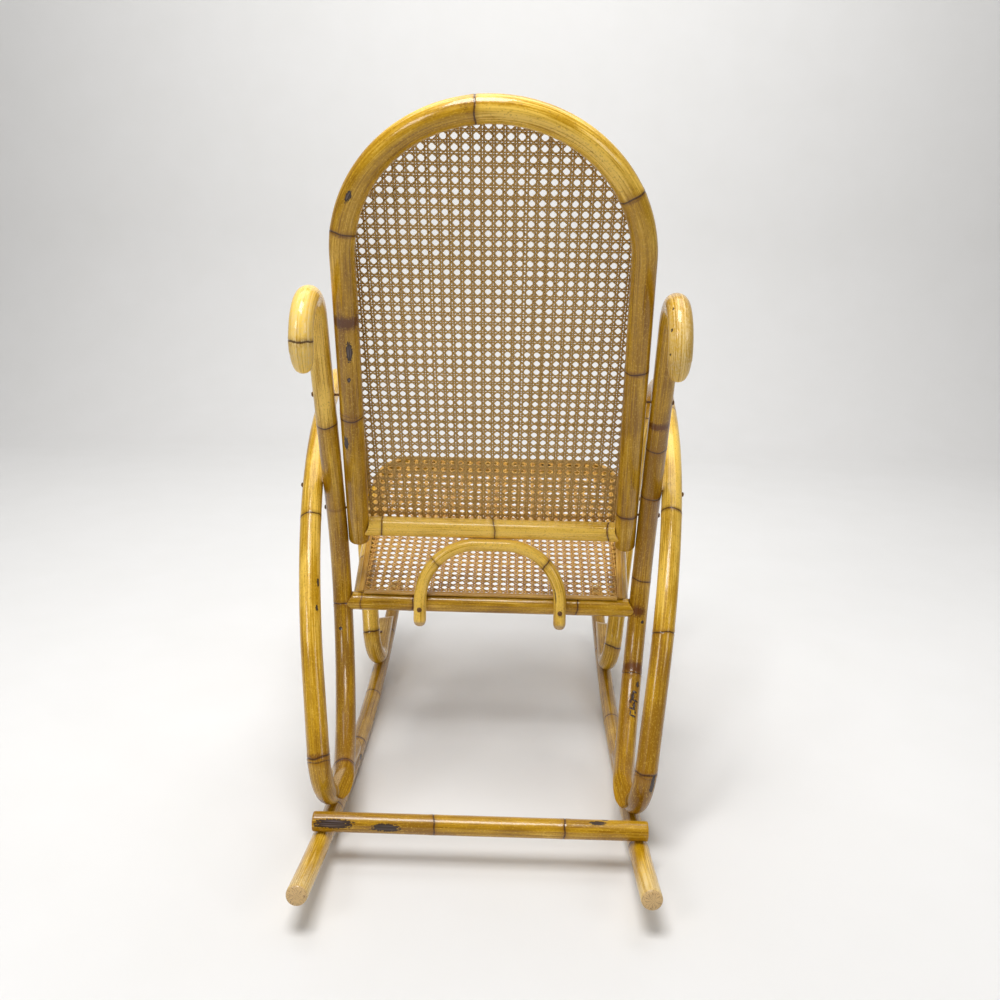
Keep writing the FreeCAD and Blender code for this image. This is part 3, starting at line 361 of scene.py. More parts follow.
def summed(tree, first, second, how="ADD"):
    return wire(tree, "ShaderNodeMath", {0: first, 1: second}, operation=how).outputs[0]


def addedShare(tree, first, second, share):  # first + share * second
    return summed(tree, first, summed(tree, second, share, "MULTIPLY"))


def speckle(tree, vector, scale, detail=3.0, rough=0.55):
    scaled = wire(tree, "ShaderNodeVectorMath", {0: vector, 1: scale}, operation="MULTIPLY").outputs[0]
    inputs = {"Vector": scaled, "Scale": 1.0, "Detail": detail, "Roughness": rough}
    return wire(tree, "ShaderNodeTexNoise", inputs).outputs[0]


# golden varnished rattan: lengthwise streaks, dark node rings, brown burns, scars with a painted sheen,
# worn pale places, and painted light and shade along the pole
rattanColours = {
    "gold": tint(184, 138, 6),
    "straw": tint(240, 198, 84),
    "amber": tint(142, 99, 0),
    "ring": tint(66, 38, 12),
    "halo": tint(128, 80, 10),
    "burn": tint(98, 52, 10),
    "scar": tint(44, 32, 28),
    # grey sheen painted into the middle of the scars as a reflection
    "paintedSheen": tint(92, 80, 82),
    "worn": tint(230, 202, 138),
    "cut": tint(206, 172, 118),
    "pore": tint(92, 62, 34),
}
# noise scales on the grain attribute: twice around the pole, then along it
rattanGrain = {
    "streaks": (620, 620, 9), "fibres": (2300, 2300, 36), "patches": (42, 42, 11),
    "ragged": (420, 420, 300), "pores": (1500, 1500, 1500), "wrinkles": (70, 70, 330),
}
rattanGloss = {
    "specular": 0.24, "coat": 0.6, "coatRough": 0.1, "dulled": 0.32, "bump": 0.4, "bumpHigh": 0.0004,
}


def rattanFinish(name, colours):
    finish, tree, shader = newFinish(name)
    grain = noted(tree, "grain")
    ringGap, burn, scar = split(tree, noted(tree, "marks"))
    pale, cut, toneAndPaintedLight = split(tree, noted(tree, "wearAndPaintedLight"))
    streaks = speckle(tree, grain, rattanGrain["streaks"], 4.0)
    fibres = speckle(tree, grain, rattanGrain["fibres"], 2.0)
    patches = speckle(tree, grain, rattanGrain["patches"], 3.0)
    ragged = speckle(tree, grain, rattanGrain["ragged"], 3.0, 0.65)
    uneven = summed(tree, ragged, 0.5, "SUBTRACT")
    splinters = summed(tree, summed(tree, streaks, ragged), 1.0, "SUBTRACT")

    # skin: amber, gold and straw, by the streaks and the tone of the stretch, with painted light and shade
    # from the slow change along the pole
    toneAndLightInputs = {0: toneAndPaintedLight, 1: 0.7, 2: -0.35}
    toneAndLightShift = wire(tree, "ShaderNodeMath", toneAndLightInputs, operation="MULTIPLY_ADD").outputs[0]
    shade = summed(tree, summed(tree, streaks, patches), toneAndLightShift)
    colour = blended(tree, ranged(tree, shade, 0.72, 1.02), colours["amber"], colours["gold"])
    colour = blended(tree, ranged(tree, shade, 1.0, 1.34), colour, colours["straw"])
    colour = blended(tree, ranged(tree, fibres, 0.6, 0.78, 0.0, 0.35), colour, colours["amber"])
    colour = blended(tree, ranged(tree, ragged, 0.54, 0.68, 0.0, 0.5), colour, colours["amber"])
    colour = blended(tree, ranged(tree, ragged, 0.46, 0.34, 0.0, 0.3), colour, colours["straw"])

    # marks one over the other, each with an edge that the noise makes uneven
    halo = ranged(tree, addedShare(tree, ringGap, uneven, 0.5), 0.0, 0.42, 0.5, 0.0)
    colour = blended(tree, halo, colour, colours["halo"])
    burnShare = ranged(tree, addedShare(tree, burn, uneven, 0.9), 0.12, 0.85, 0.0, 0.93)
    colour = blended(tree, burnShare, colour, colours["burn"])
    wornShare = ranged(tree, addedShare(tree, pale, splinters, 1.1), 0.15, 0.85)
    colour = blended(tree, wornShare, colour, colours["worn"])
    ringShare = ranged(tree, addedShare(tree, ringGap, uneven, 0.12), 0.02, 0.1, 0.92, 0.0)
    colour = blended(tree, ringShare, colour, colours["ring"])
    # scars are dark, with a painted sheen of reflected light in their middle, broken up by the streaks
    scarShare = ranged(tree, addedShare(tree, scar, splinters, 0.6), 0.46, 0.53, 0.0, 0.96)
    paintedGlint = summed(tree, ranged(tree, scar, 0.56, 0.76), ranged(tree, streaks, 0.46, 0.56), "MULTIPLY")
    scarAndSheen = blended(tree, paintedGlint, colours["scar"], colours["paintedSheen"])
    colour = blended(tree, scarShare, colour, scarAndSheen)
    pores = ranged(tree, speckle(tree, grain, rattanGrain["pores"], 1.0), 0.56, 0.66)
    cutColour = blended(tree, pores, colours["cut"], colours["pore"])
    colour = blended(tree, cut, colour, cutColour)
    tree.links.new(colour, shader.inputs["Base Color"])

    # varnish: duller on scars, cuts and worn places
    dull = summed(tree, summed(tree, scarShare, cut, "MAXIMUM"), wornShare, "MAXIMUM")
    rough = addedShare(tree, ranged(tree, streaks, 0.3, 0.7, 0.26, 0.4), dull, rattanGloss["dulled"])
    tree.links.new(rough, shader.inputs["Roughness"])
    wrinkles = speckle(tree, grain, rattanGrain["wrinkles"], 2.0)
    height = addedShare(tree, summed(tree, streaks, wrinkles), fibres, 0.4)
    bumpInputs = {"Height": height, "Strength": rattanGloss["bump"], "Distance": rattanGloss["bumpHigh"]}
    bump = wire(tree, "ShaderNodeBump", bumpInputs)
    tree.links.new(bump.outputs[0], shader.inputs["Normal"])
    shader.inputs["Specular IOR Level"].default_value = rattanGloss["specular"]
    shader.inputs["Coat Weight"].default_value = rattanGloss["coat"]
    shader.inputs["Coat Roughness"].default_value = rattanGloss["coatRough"]
    return finish


rattanSkin = rattanFinish("rattanSkin", rattanColours)
stripColours = dict(
    rattanColours, gold=tint(172, 126, 28), straw=tint(200, 156, 60), amber=tint(136, 94, 10),
)
stripSkin = rattanFinish("stripSkin", stripColours)


def addPole(name, path, side, pole, node):
    addPiece(name, poleSurface(path, side, pole), rattanSkin, [node], 40)


# split cane: each strand has its own shade, with fine fibres along it, and a dull pith below
caneGrain = {"fibres": (2600, 30, 900), "patches": (60, 60, 60)}


def caneFinish(name, colours):
    finish, tree, shader = newFinish(name)
    grain = noted(tree, "grain")
    ownShade, underside = split(tree, noted(tree, "strand"))[:2]
    fibres = speckle(tree, grain, caneGrain["fibres"], 3.0)
    patches = speckle(tree, grain, caneGrain["patches"], 2.0)
    shade = summed(tree, summed(tree, fibres, patches), ranged(tree, ownShade, 0, 1, -0.16, 0.16))
    colour = blended(tree, ranged(tree, shade, 0.75, 1.05), colours["dark"], colours["middle"])
    colour = blended(tree, ranged(tree, shade, 1.02, 1.3), colour, colours["light"])
    colour = blended(tree, underside, colour, colours["pith"])
    tree.links.new(colour, shader.inputs["Base Color"])
    tree.links.new(ranged(tree, fibres, 0.3, 0.7, 0.36, 0.52), shader.inputs["Roughness"])
    return finish


backColours = {
    "dark": tint(150, 112, 54), "middle": tint(218, 182, 110),
    "light": tint(252, 228, 166), "pith": tint(190, 152, 86),
}
# the seat's strands are darker and more golden than the back's; the darkening is painted shade, for the
# seat lying in shade under the back
seatShadedColours = {
    "dark": tint(154, 104, 26), "middle": tint(190, 140, 46),
    "light": tint(216, 170, 74), "pith": tint(144, 100, 34),
}
backStrand = caneFinish("backStrand", backColours)
seatShadedStrand = caneFinish("seatShadedStrand", seatShadedColours)


screwColours = {"bright": tint(136, 98, 62), "tarnish": tint(80, 54, 34)}


def screwFinish(colours):
    finish, tree, shader = newFinish("screwMetal")
    place = wire(tree, "ShaderNodeTexCoord").outputs["Object"]
    tarnish = speckle(tree, place, (900, 900, 900), 3.0)
    colour = blended(tree, ranged(tree, tarnish, 0.4, 0.66), colours["bright"], colours["tarnish"])
    tree.links.new(colour, shader.inputs["Base Color"])
    tree.links.new(ranged(tree, tarnish, 0.35, 0.7, 0.34, 0.6), shader.inputs["Roughness"])
    shader.inputs["Metallic"].default_value = 0.6
    return finish


screwMetal = screwFinish(screwColours)


# dowels and pegs keep the CAD's meshes and get a wood finish
pegColours = {"dark": tint(178, 134, 82), "light": tint(214, 176, 122)}


def pegFinish(colours):
    finish, tree, shader = newFinish("pegWood")
    place = wire(tree, "ShaderNodeTexCoord").outputs["Object"]
    grain = speckle(tree, place, (700, 700, 120), 3.0)
    colour = blended(tree, ranged(tree, grain, 0.35, 0.65), colours["dark"], colours["light"])
    tree.links.new(colour, shader.inputs["Base Color"])
    tree.links.new(ranged(tree, grain, 0.3, 0.7, 0.5, 0.66), shader.inputs["Roughness"])
    return finish


pegWood = pegFinish(pegColours)
for node in ("rail_dowels", "joint_pegs"):
    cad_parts[node].data.materials.clear()
    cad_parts[node].data.materials.append(pegWood)
print("finishes made")

# frames that the bent poles are drawn in
backSpot = (0, 7, 396)
backTurn = turned("X", -24.7)
uprightSpot = (269.126, 7, 396)
uprightTurn = backTurn @ turned("Y", -1.0)
bowTurn = uprightTurn @ turned("Z", 8)
scrollSpot = (227.188, 0, 0)
scrollTurn = turned("Y", 8.4525)
seatSpot = (0, 23.166, 285.022)
seatTurn = turned("Z", 180) @ turned("X", 16)
braceSpot = (0, 27.017, 395.472)
braceTurn = turned("X", 12.305)

# back arch: tapering legs and a round top
arch = {
    "thick": 37, "seed": 1, "ends": ("flat", "flat"), "around": 52,
    "half": 233.3, "taper": 2.2, "leg": 534.115, "top": 212.954,
    "toneAndPaintedLight": [(0, -0.4), (450, -0.3), (700, 0.3), (1000, 0.4), (1250, -0.2), (1700, -0.5)],
    "rings": [
        (263, 2.0, 1), (270, 1.2, 0.7), (571, 2.4, 1), (837, 1.0, 1),
        (1088, 2.6, 1), (1361, 1.6, 1), (1646, 1.2, 1),
    ],
    "burns": [
        (826, 234, 8, 14, 0.45), (436, 273, 12, 45, 1.0), (263, 270, 5, 30, 0.5), (571, 270, 4, 40, 0.5),
        (1088, 245, 4, 30, 0.5), (1361, 270, 6, 20, 0.55), (1646, 270, 5, 30, 0.6), (60, 270, 8, 12, 0.4),
    ],
    "scars": [(629, 252, 9, 3.6), (388, 285, 17, 4.6), (218, 240, 14, 4), (339, 276, 4, 2.6)],
}
archSteps = [(arch["leg"],), (arch["top"], 180 - 2 * arch["taper"]), (arch["leg"],)]
archLine = bentPath((arch["half"], 0), 90 + arch["taper"], archSteps)
archPath = placed(archLine, "xz", backSpot, backTurn)
addPole("backArch", archPath, planeSide("xz", backTurn), arch, "back_arch")

# rail across the foot of the back, hollowed at both ends to sit against the legs
backRail = {
    "thick": 34, "seed": 2, "ends": ("flat", "flat"), "half": 232.224, "y": 17.338, "z": 422.065,
    "toneAndPaintedLight": [(0, 0.9)],
    "rings": [(41, 1.5, 1), (235, 2.5, 0.9), (441, 1.2, 1)],
    "burns": [(41, 180, 4, 20, 0.5), (441, 150, 4, 25, 0.6)],
    "trim": hollowEnd(19.3, 16.6, np.sin, 0.43),
}
upward = np.array([0, 0, 1.0])
addPole("backBottomRail", crossPath(backRail), upward, backRail, "back_bottom_rail")

# side scrolls: rear foot, heel, rising back, armrest, front bend, ankle and slanting front foot
scroll = {
    "thick": 34, "seed": 5, "ends": ("flat", "flat"), "scarf": (180, 32, 4, -20, 0.4),
    "toneAndPaintedLight": [(0, -0.3), (250, -0.2), (450, 0.5), (900, 0.6), (1500, 0.2)],
    "corners": [
        (120, 50.336), (358, 65.794), (140, 517.622), (-545, 742.06), (-150, 48.444), (-390, 103.419),
    ],
    "radii": [60, 680, 125, 44],
    "rings": [
        (60, 1.5, 1), (262, 2.0, 0.8), (268, 2.5, 1), (652, 2.5, 1),
        (930, 2, 1), (1210, 2, 1), (1480, 2, 1), (1720, 1.5, 1),
    ],
    "burns": [(194, 138, 15, 16, 0.95), (268, 162, 5, 40, 0.6), (1210, 90, 7, 30, 0.7)],
    "scars": [(532, 246, 7, 3), (490, 234, 6, 2.6), (1010, 200, 13, 4), (1390, 60, 10, 3.5)],
}
scrollPath = placed(corneredPath(scroll["corners"], scroll["radii"]), "yz", scrollSpot, scrollTurn)
scrollSide = planeSide("yz", scrollTurn)
rightScroll = dict(
    scroll, seed=6,
    rings=[
        (75, 1.5, 1), (252, 1.5, 0.7), (259, 2.5, 1), (468, 2.0, 1), (677, 2.5, 1),
        (950, 2, 1), (1235, 2, 1), (1500, 2, 1), (1735, 1.5, 1),
    ],
    toneAndPaintedLight=[(0, -0.6), (300, -0.9), (430, -0.7), (560, 0.3), (900, 0.5), (1500, 0.2)],
    burns=[(231, 162, 18, 16, 0.4), (677, 190, 4, 40, 0.5), (1500, 120, 8, 30, 0.6)],
    scars=[(246, 216, 13, 4.5), (1120, 220, 12, 3.6)],
)
addPole("leftSideScroll", scrollPath, scrollSide, scroll, "left_side_scroll")
addPole("rightSideScroll", *otherSide(scrollPath, scrollSide), rightScroll, "right_side_scroll")

# uprights: curl, straight run beside the leg, bow that turns inward, slanting cut at the tail
upright = {
    "thick": 34, "seed": 3, "ends": ("finger", "flat"), "scarf": (-40, 32, 4, 5, 4),
    "toneAndPaintedLight": [(0, 0.8), (180, 0.8), (420, 0.0), (700, -0.5), (1100, -0.8)],
    "pales": [(60, 0, 95, 200, 0.46)],
    "curlUp": 435, "curl": 55, "tip": 25, "half": 178.664, "turnOver": 300,
    "bow": 270, "sweep": 114, "tail": 32, "bowUp": 77.673, "heelRoom": 17.3,
    "rings": [(49, 2.5, 1), (386, 1.5, 1), (560, 1.4, 0.6), (748, 3.0, 1), (1066, 2.5, 1)],
    "burns": [(1066, 0, 6, 30, 0.8), (49, 240, 4, 30, 0.5)],
    "scars": [(792, 18, 3.5, 3.0)],
}
straight = (upright["half"],)
curlStart = (2 * upright["curl"], upright["curlUp"] - upright["tip"])
curlLine = bentPath(curlStart, 90, [(upright["tip"],), (upright["curl"], 180), straight])
bowStart = (0, upright["bowUp"] + upright["half"])
bowLine = bentPath(bowStart, 270, [straight, (upright["bow"], upright["sweep"]), (upright["tail"],)])
curlPath = placed(curlLine, "yz", uprightSpot, uprightTurn)
bowPath = placed(bowLine, "yz", uprightSpot, bowTurn)
uprightPath = np.vstack([curlPath, bowPath[1:]])
# the pole's side direction turns from the curl's plane to the bow's plane along the straight run
fromBow = np.arange(len(uprightPath)) - len(curlLine)
turning = soft(-upright["turnOver"], upright["turnOver"], fromBow)[:, None]
uprightSide = planeSide("yz", uprightTurn) * (1 - turning) + planeSide("yz", bowTurn) * turning
rightUpright = dict(
    upright, seed=4, scarf=(40, 32, 4, 20, 7),
    toneAndPaintedLight=[(0, 0.4), (150, 0.4), (240, -0.3), (420, -0.6), (700, -0.6), (1000, -0.9)],
    rings=[(417, 1.5, 1), (518, 1.8, 1), (688, 2.0, 1), (858, 2.5, 0.9)],
    burns=[
        (128, 180, 26, 16, 0.45), (370, 9, 8, 40, 0.95), (746, 2, 12, 15, 1.0), (849, 351, 11, 40, 1.0),
        (915, 339, 22, 13, 0.5),
    ],
    scars=[
        (880, 318, 6, 3.5), (905, 345, 7, 3), (922, 330, 6, 3), (765, 327, 3.5, 3), (70, 126, 2.5, 2),
        (97, 140, 2, 1.6), (42, 120, 2, 1.6), (896, 335, 2.4, 5), (912, 325, 2.2, 6),
        (915, 355, 5, 1.8), (929, 342, 2.2, 6),
        (934, 318, 4, 2), (938, 352, 5, 1.8), (943, 332, 2.2, 5),
    ],
)
# the tails lie against the heels of the scrolls
heel = scrollPath[200:800:2]
upright["cope"] = (heel, upright["heelRoom"])
rightUpright["cope"] = (otherSide(heel, scrollSide)[0], upright["heelRoom"])
addPole("leftUpright", uprightPath, uprightSide, upright, "left_upright")
addPole("rightUpright", *otherSide(uprightPath, uprightSide), rightUpright, "right_upright")

# rockers: two arcs that meet at the lowest point, z = radius - sqrt(radius^2 - y^2)
rocker = {
    "thick": 30, "seed": 7, "ends": ("worn", "worn"), "toneAndPaintedLight": [(0, 0), (180, 0), (300, -0.3)],
    "half": 236, "low": 7, "rear": 2950, "front": 1500, "tail": 537, "nose": -534,
    "rings": [(262, 1.5, 1), (490, 2, 1), (675, 2, 1), (905, 2, 1)],
    "burns": [(490, 200, 4, 30, 0.6)],
    "scars": [(438, 255, 10, 4), (338, 288, 10, 4), (760, 120, 12, 3.5)],
    "pales": [(0, 0, 70, 200, 0.55), (1086, 0, 40, 200, 0.5)],
}
rightRocker = dict(
    rocker, seed=8, tail=519,
    rings=[(147, 2, 1), (360, 1.5, 1), (587, 2, 1), (840, 2, 1)],
    burns=[(147, 140, 6, 30, 0.6)],
    scars=[(700, 250, 11, 3.6)],
    pales=[(0, 0, 80, 200, 0.6), (1068, 0, 40, 200, 0.5)],
)


def rockerPath(dims, side):
    y = np.arange(dims["tail"], dims["nose"] - 0.5, -1.0)
    bend = np.where(y > dims["low"], dims["rear"], dims["front"])
    z = dims["thick"] / 2 + bend - np.sqrt(bend ** 2 - (y - dims["low"]) ** 2)
    return np.stack([np.full(len(y), side * dims["half"]), y, z], axis=1)


sideward = np.array([1.0, 0, 0])
addPole("leftRocker", rockerPath(rocker, 1), sideward, rocker, "left_rocker")
addPole("rightRocker", rockerPath(rightRocker, -1), sideward, rightRocker, "right_rocker")

# stretcher across the rocker tails
stretcher = {
    "thick": 29, "seed": 9, "ends": ("flat", "flat"), "half": 247.5, "y": 372, "z": 67.698,
    "toneAndPaintedLight": [(0, -0.4)],
    "rings": [(179, 1.2, 1), (372, 1.2, 1)],
    "burns": [(32, 159, 32, 9, 0.3), (109, 174, 26, 8, 0.3)],
    "scars": [(32, 159, 29, 7), (109, 174, 23, 6), (420, 105, 13, 4), (432, 70, 5, 2.5)],
}
addPole("rearStretcher", crossPath(stretcher), upward, stretcher, "rear_stretcher")

# rail under the rear edge of the seat, hollowed at both ends to sit against the bows
seatRail = {
    "thick": 32, "seed": 10, "ends": ("flat", "flat"), "half": 262.187, "y": seatSpot[1], "z": seatSpot[2],
    "rings": [(30, 0.8, 0.9), (125, 1.4, 1), (415, 1.4, 1)],
    "trim": hollowEnd(18.6, 16, np.cos, -0.26),
}
addPole("seatRearRail", crossPath(seatRail), upward, seatRail, "seat_rear_rail")

# seat hoop: side rails and front rail bent from one pole
seatHoop = {
    "thick": 32, "seed": 11, "ends": ("flat", "flat"),
    "corners": [(228.887, 0), (257.646, 503), (-257.646, 503), (-228.887, 0)], "radii": [75, 75],
    "rings": [(200, 2, 1), (480, 2, 1), (760, 2, 1), (1060, 2, 1), (1330, 2, 1)],
    "scars": [(620, 60, 10, 3.5)],
    "trim": hollowEnd(16.4, 16, np.sin),
}
hoopLine = corneredPath(seatHoop["corners"], seatHoop["radii"])
hoopPath = placed(hoopLine, "xy", seatSpot, seatTurn)
addPole("seatHoop", hoopPath, planeSide("xy", seatTurn), seatHoop, "seat_hoop")

# small arched brace behind the seat
brace = {
    "thick": 22, "seed": 12, "ends": ("round", "round"), "around": 36,
    "toneAndPaintedLight": [(0, 0.7), (260, 0.9), (330, 0.3), (500, 0.3)],
    "corners": [(122, -145.09), (122, 0), (-122, 0), (-122, -145.09)], "radii": [98, 98],
    "rings": [(120, 1.2, 0.8), (330, 1.2, 1)],
    "scars": [(387, 315, 22, 1.3)],
}
bracePath = placed(corneredPath(brace["corners"], brace["radii"]), "xz", braceSpot, braceTurn)
addPole("braceArch", bracePath, planeSide("xz", braceTurn), brace, "brace_arch")
print("poles made")

# woven cane: mesh pitch, half the step of a pair, a strand's section, its rise, and how evenly it lies
cane = {
    "pitch": 15.0, "pair": 1.65, "wide": 2.5, "thick": 0.75, "weave": 0.5, "cross": 0.95,
    "jitter": 0.22, "sway": 0.16, "swayLong": 31, "narrowest": 0.88, "widest": 1.08, "endGap": 0.4,
}


# Strands are straight lines p + t * way, kept where t lies inside every edge of the convex outline.
# A strand has a row at each crossing, where its height follows the weave's over and under pattern.
def caneStrands(outline, starts, way, stations, height, dims, seed):
    dice = np.random.default_rng(seed)
    edges = np.roll(outline, -1, axis=0) - outline
    inward = np.stack([-edges[:, 1], edges[:, 0]], axis=1)
    speed = inward @ way
    room = np.sum((starts[:, None] - outline[None]) * inward[None], axis=2)
    with np.errstate(divide="ignore", invalid="ignore"):
        reach = -room / speed[None]
    level = 1e-6
    low = np.max(np.where(speed[None] > level, reach, -np.inf), axis=1)
    high = np.min(np.where(speed[None] < -level, reach, np.inf), axis=1)
    keep = (high - low > dims["pitch"]) & np.all((np.abs(speed) > level)[None] | (room > 0), axis=1)
    starts, low, high = starts[keep], low[keep], high[keep]
    count = len(starts)
    t = np.repeat(stations[None], count, axis=0)
    strand = np.repeat(np.arange(count)[:, None], len(stations), axis=1)
    inside = (t > low[:, None] + dims["endGap"]) & (t < high[:, None] - dims["endGap"])
    t = np.concatenate([t[inside], low, high])
    strand = np.concatenate([strand[inside], np.arange(count), np.arange(count)])
    order = np.lexsort((t, strand))
    t, strand = t[order], strand[order]
    normal = np.array([-way[1], way[0]])
    sway = dims["sway"] * np.sin(t / dims["swayLong"] + 7 * strand)
    drift = dice.normal(0, dims["jitter"], count)[strand] + sway
    middle = starts[strand] + t[:, None] * way + drift[:, None] * normal
    rise = height(t, strand)
    wide = dims["wide"] * dice.uniform(dims["narrowest"], dims["widest"], count)[strand]
    across = np.array([-0.5, -0.24, 0.24, 0.5])
    up = np.array([-0.5, 0.5, 0.5, -0.5])
    flat = middle[:, None] + (wide[:, None] * across[None])[..., None] * normal
    lift = rise[:, None] + dims["thick"] * up[None]
    number = np.arange(len(t) * 4).reshape(-1, 4)
    joined = np.nonzero(strand[1:] == strand[:-1])[0]
    a, b = number[joined], number[joined + 1]
    quads = np.stack([a, b, np.roll(b, -1, axis=1), np.roll(a, -1, axis=1)], axis=2).reshape(-1, 4)
    firsts = number[np.concatenate([[True], strand[1:] != strand[:-1]])]
    lasts = number[np.concatenate([strand[1:] != strand[:-1], [True]])]
    faces = np.vstack([quads, firsts, lasts[:, ::-1]])
    shade = dice.uniform(0, 1, count)[strand]
    grain = [across[None] * wide[:, None] + 11 * strand[:, None], t[:, None] + 0 * across[None], lift]
    shading = [shade[:, None] + 0 * lift, (up[None] < 0) + 0 * lift, 0 * lift]
    notes = {
        "grain": np.stack(grain, axis=2).reshape(-1, 3) * mm,
        "strand": np.stack(shading, axis=2).reshape(-1, 3),
    }
    return flat.reshape(-1, 2), lift.ravel(), faces, notes


# one sheet of six-way cane: pairs up and across, and two diagonals that cut the corners of every mesh
def caneSheet(name, outline, dims, place, finish, slotNode, seed):
    p, d = dims["pitch"], dims["pair"]
    span = int(np.ceil(np.abs(outline).max() * 1.5 / p))
    steps = np.arange(-span, span + 1)
    lines = (steps[:, None] * p + np.array([-d, d])).ravel()
    crossings = np.sort((steps[:, None] * p + np.array([-d, d, p / 2])).ravel())

    # pairs: over one strand of the crossing pair and under the other
    def pairHeight(turn):
        def height(t, strand):
            phase = np.interp(np.mod(t, p), [0, d, p / 2, p - d, p], [0, 1, 0, -1, 0])
            return dims["weave"] * phase * np.where(strand % 2 == 0, 1, -1) * turn
        return height

    # diagonals: over the pairs of one direction and under those of the other
    def slantHeight(turn):
        def height(t, strand):
            phase = np.interp(np.mod(t / math.sqrt(2), p), [0, p / 2, p], [1, -1, 1])
            return dims["cross"] * phase * turn
        return height

    zeros = np.zeros(len(lines))
    half = (steps + 0.5) * p
    slantAt = np.arange(-2 * span, 2 * span + 1) * p / 2 * math.sqrt(2)
    slope = 1 / math.sqrt(2)
    sets = {
        "Upright": (np.stack([lines, zeros], 1), np.array([0.0, 1.0]), crossings, pairHeight(1)),
        "Across": (np.stack([zeros, lines], 1), np.array([1.0, 0.0]), crossings, pairHeight(-1)),
        "Rising": (np.stack([0 * half, half], 1), np.array([slope, slope]), slantAt, slantHeight(1)),
        "Falling": (np.stack([0 * half, half], 1), np.array([slope, -slope]), slantAt, slantHeight(-1)),
    }
    for key, (starts, way, stations, height) in sets.items():
        flat, lift, faces, notes = caneStrands(outline, starts, way, stations, height, dims, seed)
        seed += 1
        surface = (place(flat, lift), faces.tolist(), notes)
        addPiece(name + key, surface, finish, [slotNode])


def thinned(line, count):
    return alongPath(line, np.linspace(0, pathLength(line)[-1], count))


# back sheet: on the front of the arch, from leg to leg and down to the rail
backSheet = {"front": 19.9, "inset": 2.0, "low": 28, "roundFrom": 400, "roundTo": 700}
edgeX, edgeZ = thinned(archLine, 220).T
edgeX = edgeX - backSheet["inset"] * np.sign(edgeX)
edgeZ = edgeZ - backSheet["inset"] * soft(backSheet["roundFrom"], backSheet["roundTo"], edgeZ)
backOutline = np.stack([edgeX, edgeZ], 1)
backOutline = backOutline[backOutline[:, 1] > backSheet["low"]]


def inBack(x, y, z):  # from the back's own axes to the chair's
    return np.array(backSpot) + np.stack([x, y, z], 1) @ backTurn.T


def onBack(flat, lift):
    return inBack(flat[:, 0], -backSheet["front"] - lift, flat[:, 1])


caneSheet("backCane", backOutline, cane, onBack, backStrand, "back_cane", 20)

# seat sheet: on top of the hoop, with a slight hollow from use
seatSheet = {
    "up": 17.4, "hollow": 5.0, "bowl": 205, "middle": 251.5, "shrink": (0.992, 0.996), "forward": 1.0,
}
seatOutline = thinned(hoopLine, 160) * np.array(seatSheet["shrink"]) + np.array([0, seatSheet["forward"]])


def inSeat(x, y, z):  # from the seat's own axes to the chair's
    return np.array(seatSpot) + np.stack([x, y, z], 1) @ seatTurn.T


def onSeat(flat, lift):
    away = np.hypot(flat[:, 0], flat[:, 1] - seatSheet["middle"]) / seatSheet["bowl"]
    up = seatSheet["up"] + lift - seatSheet["hollow"] * np.clip(1 - away ** 2, 0, 1)
    return inSeat(flat[:, 0], flat[:, 1], up)


caneSheet("seatCane", seatOutline, cane, onSeat, seatShadedStrand, "seat_cane", 30)
print("cane woven")

# binding strips: a flat strip with a rounded face, carried along the edge of each sheet
binding = {
    "wide": 10.8, "thick": 3.0, "gap": 5,
    "backOut": 21.3, "backLow": 28, "backHalf": 225.8, "legLow": 22, "seatUp": 18.8, "seatHalf": 222.8,
}


# The strip's section is a low dome, flat below, given as shares of its width and thickness.
def stripSurface(path, face, dims, seed):
    length = pathLength(path)
    s = np.linspace(0, length[-1], int(length[-1] / dims["gap"]))
    middle = alongPath(path, s)
    ahead = np.gradient(middle, axis=0)
    ahead = ahead / np.linalg.norm(ahead, axis=1, keepdims=True)
    sideways = np.cross(ahead, face)
    x = np.array([-0.5, -0.5, -0.42, -0.22, 0, 0.22, 0.42, 0.5, 0.5]) * dims["wide"]
    up = np.array([0, 0.55, 0.86, 0.97, 1, 0.97, 0.86, 0.55, 0]) * dims["thick"]
    points = middle[:, None] + x[None, :, None] * sideways[:, None] + up[None, :, None] * face
    grain = [x[None] + 0 * s[:, None] + 53 * seed, up[None] + 0 * s[:, None], s[:, None] + 0 * x[None]]
    blank = np.zeros(points.shape)
    notes = {
        "grain": np.stack(grain, axis=2) * mm,
        "marks": blank + np.array([1.0, 0, 0]),
        "wearAndPaintedLight": blank + np.array([0, 0, 0.5]),
    }
    return closedTube(points, notes)


def joinedSurfaces(parts):
    starts = np.cumsum([0] + [len(part[0]) for part in parts])
    verts = np.vstack([part[0] for part in parts])
    faces = []
    for start, part in zip(starts, parts):
        faces += [[corner + int(start) for corner in face] for face in part[1]]
    notes = {key: np.vstack([part[2][key] for part in parts]) for key in parts[0][2]}
    return verts, faces, notes


backFace = backTurn @ np.array([0, -1.0, 0])
stripLine = archLine[archLine[:, 1] > binding["legLow"]]
stripPath = inBack(stripLine[:, 0], np.full(len(stripLine), -binding["backOut"]), stripLine[:, 1])
footEnd = np.array([binding["backHalf"], -binding["backOut"], binding["backLow"]])
footPath = inBack(*np.linspace(footEnd, footEnd * np.array([-1, 1, 1]), 200).T)
backStrips = [stripSurface(stripPath, backFace, binding, 1), stripSurface(footPath, backFace, binding, 2)]
addPiece("backBinding", joinedSurfaces(backStrips), stripSkin, ["back_binding"], 50)

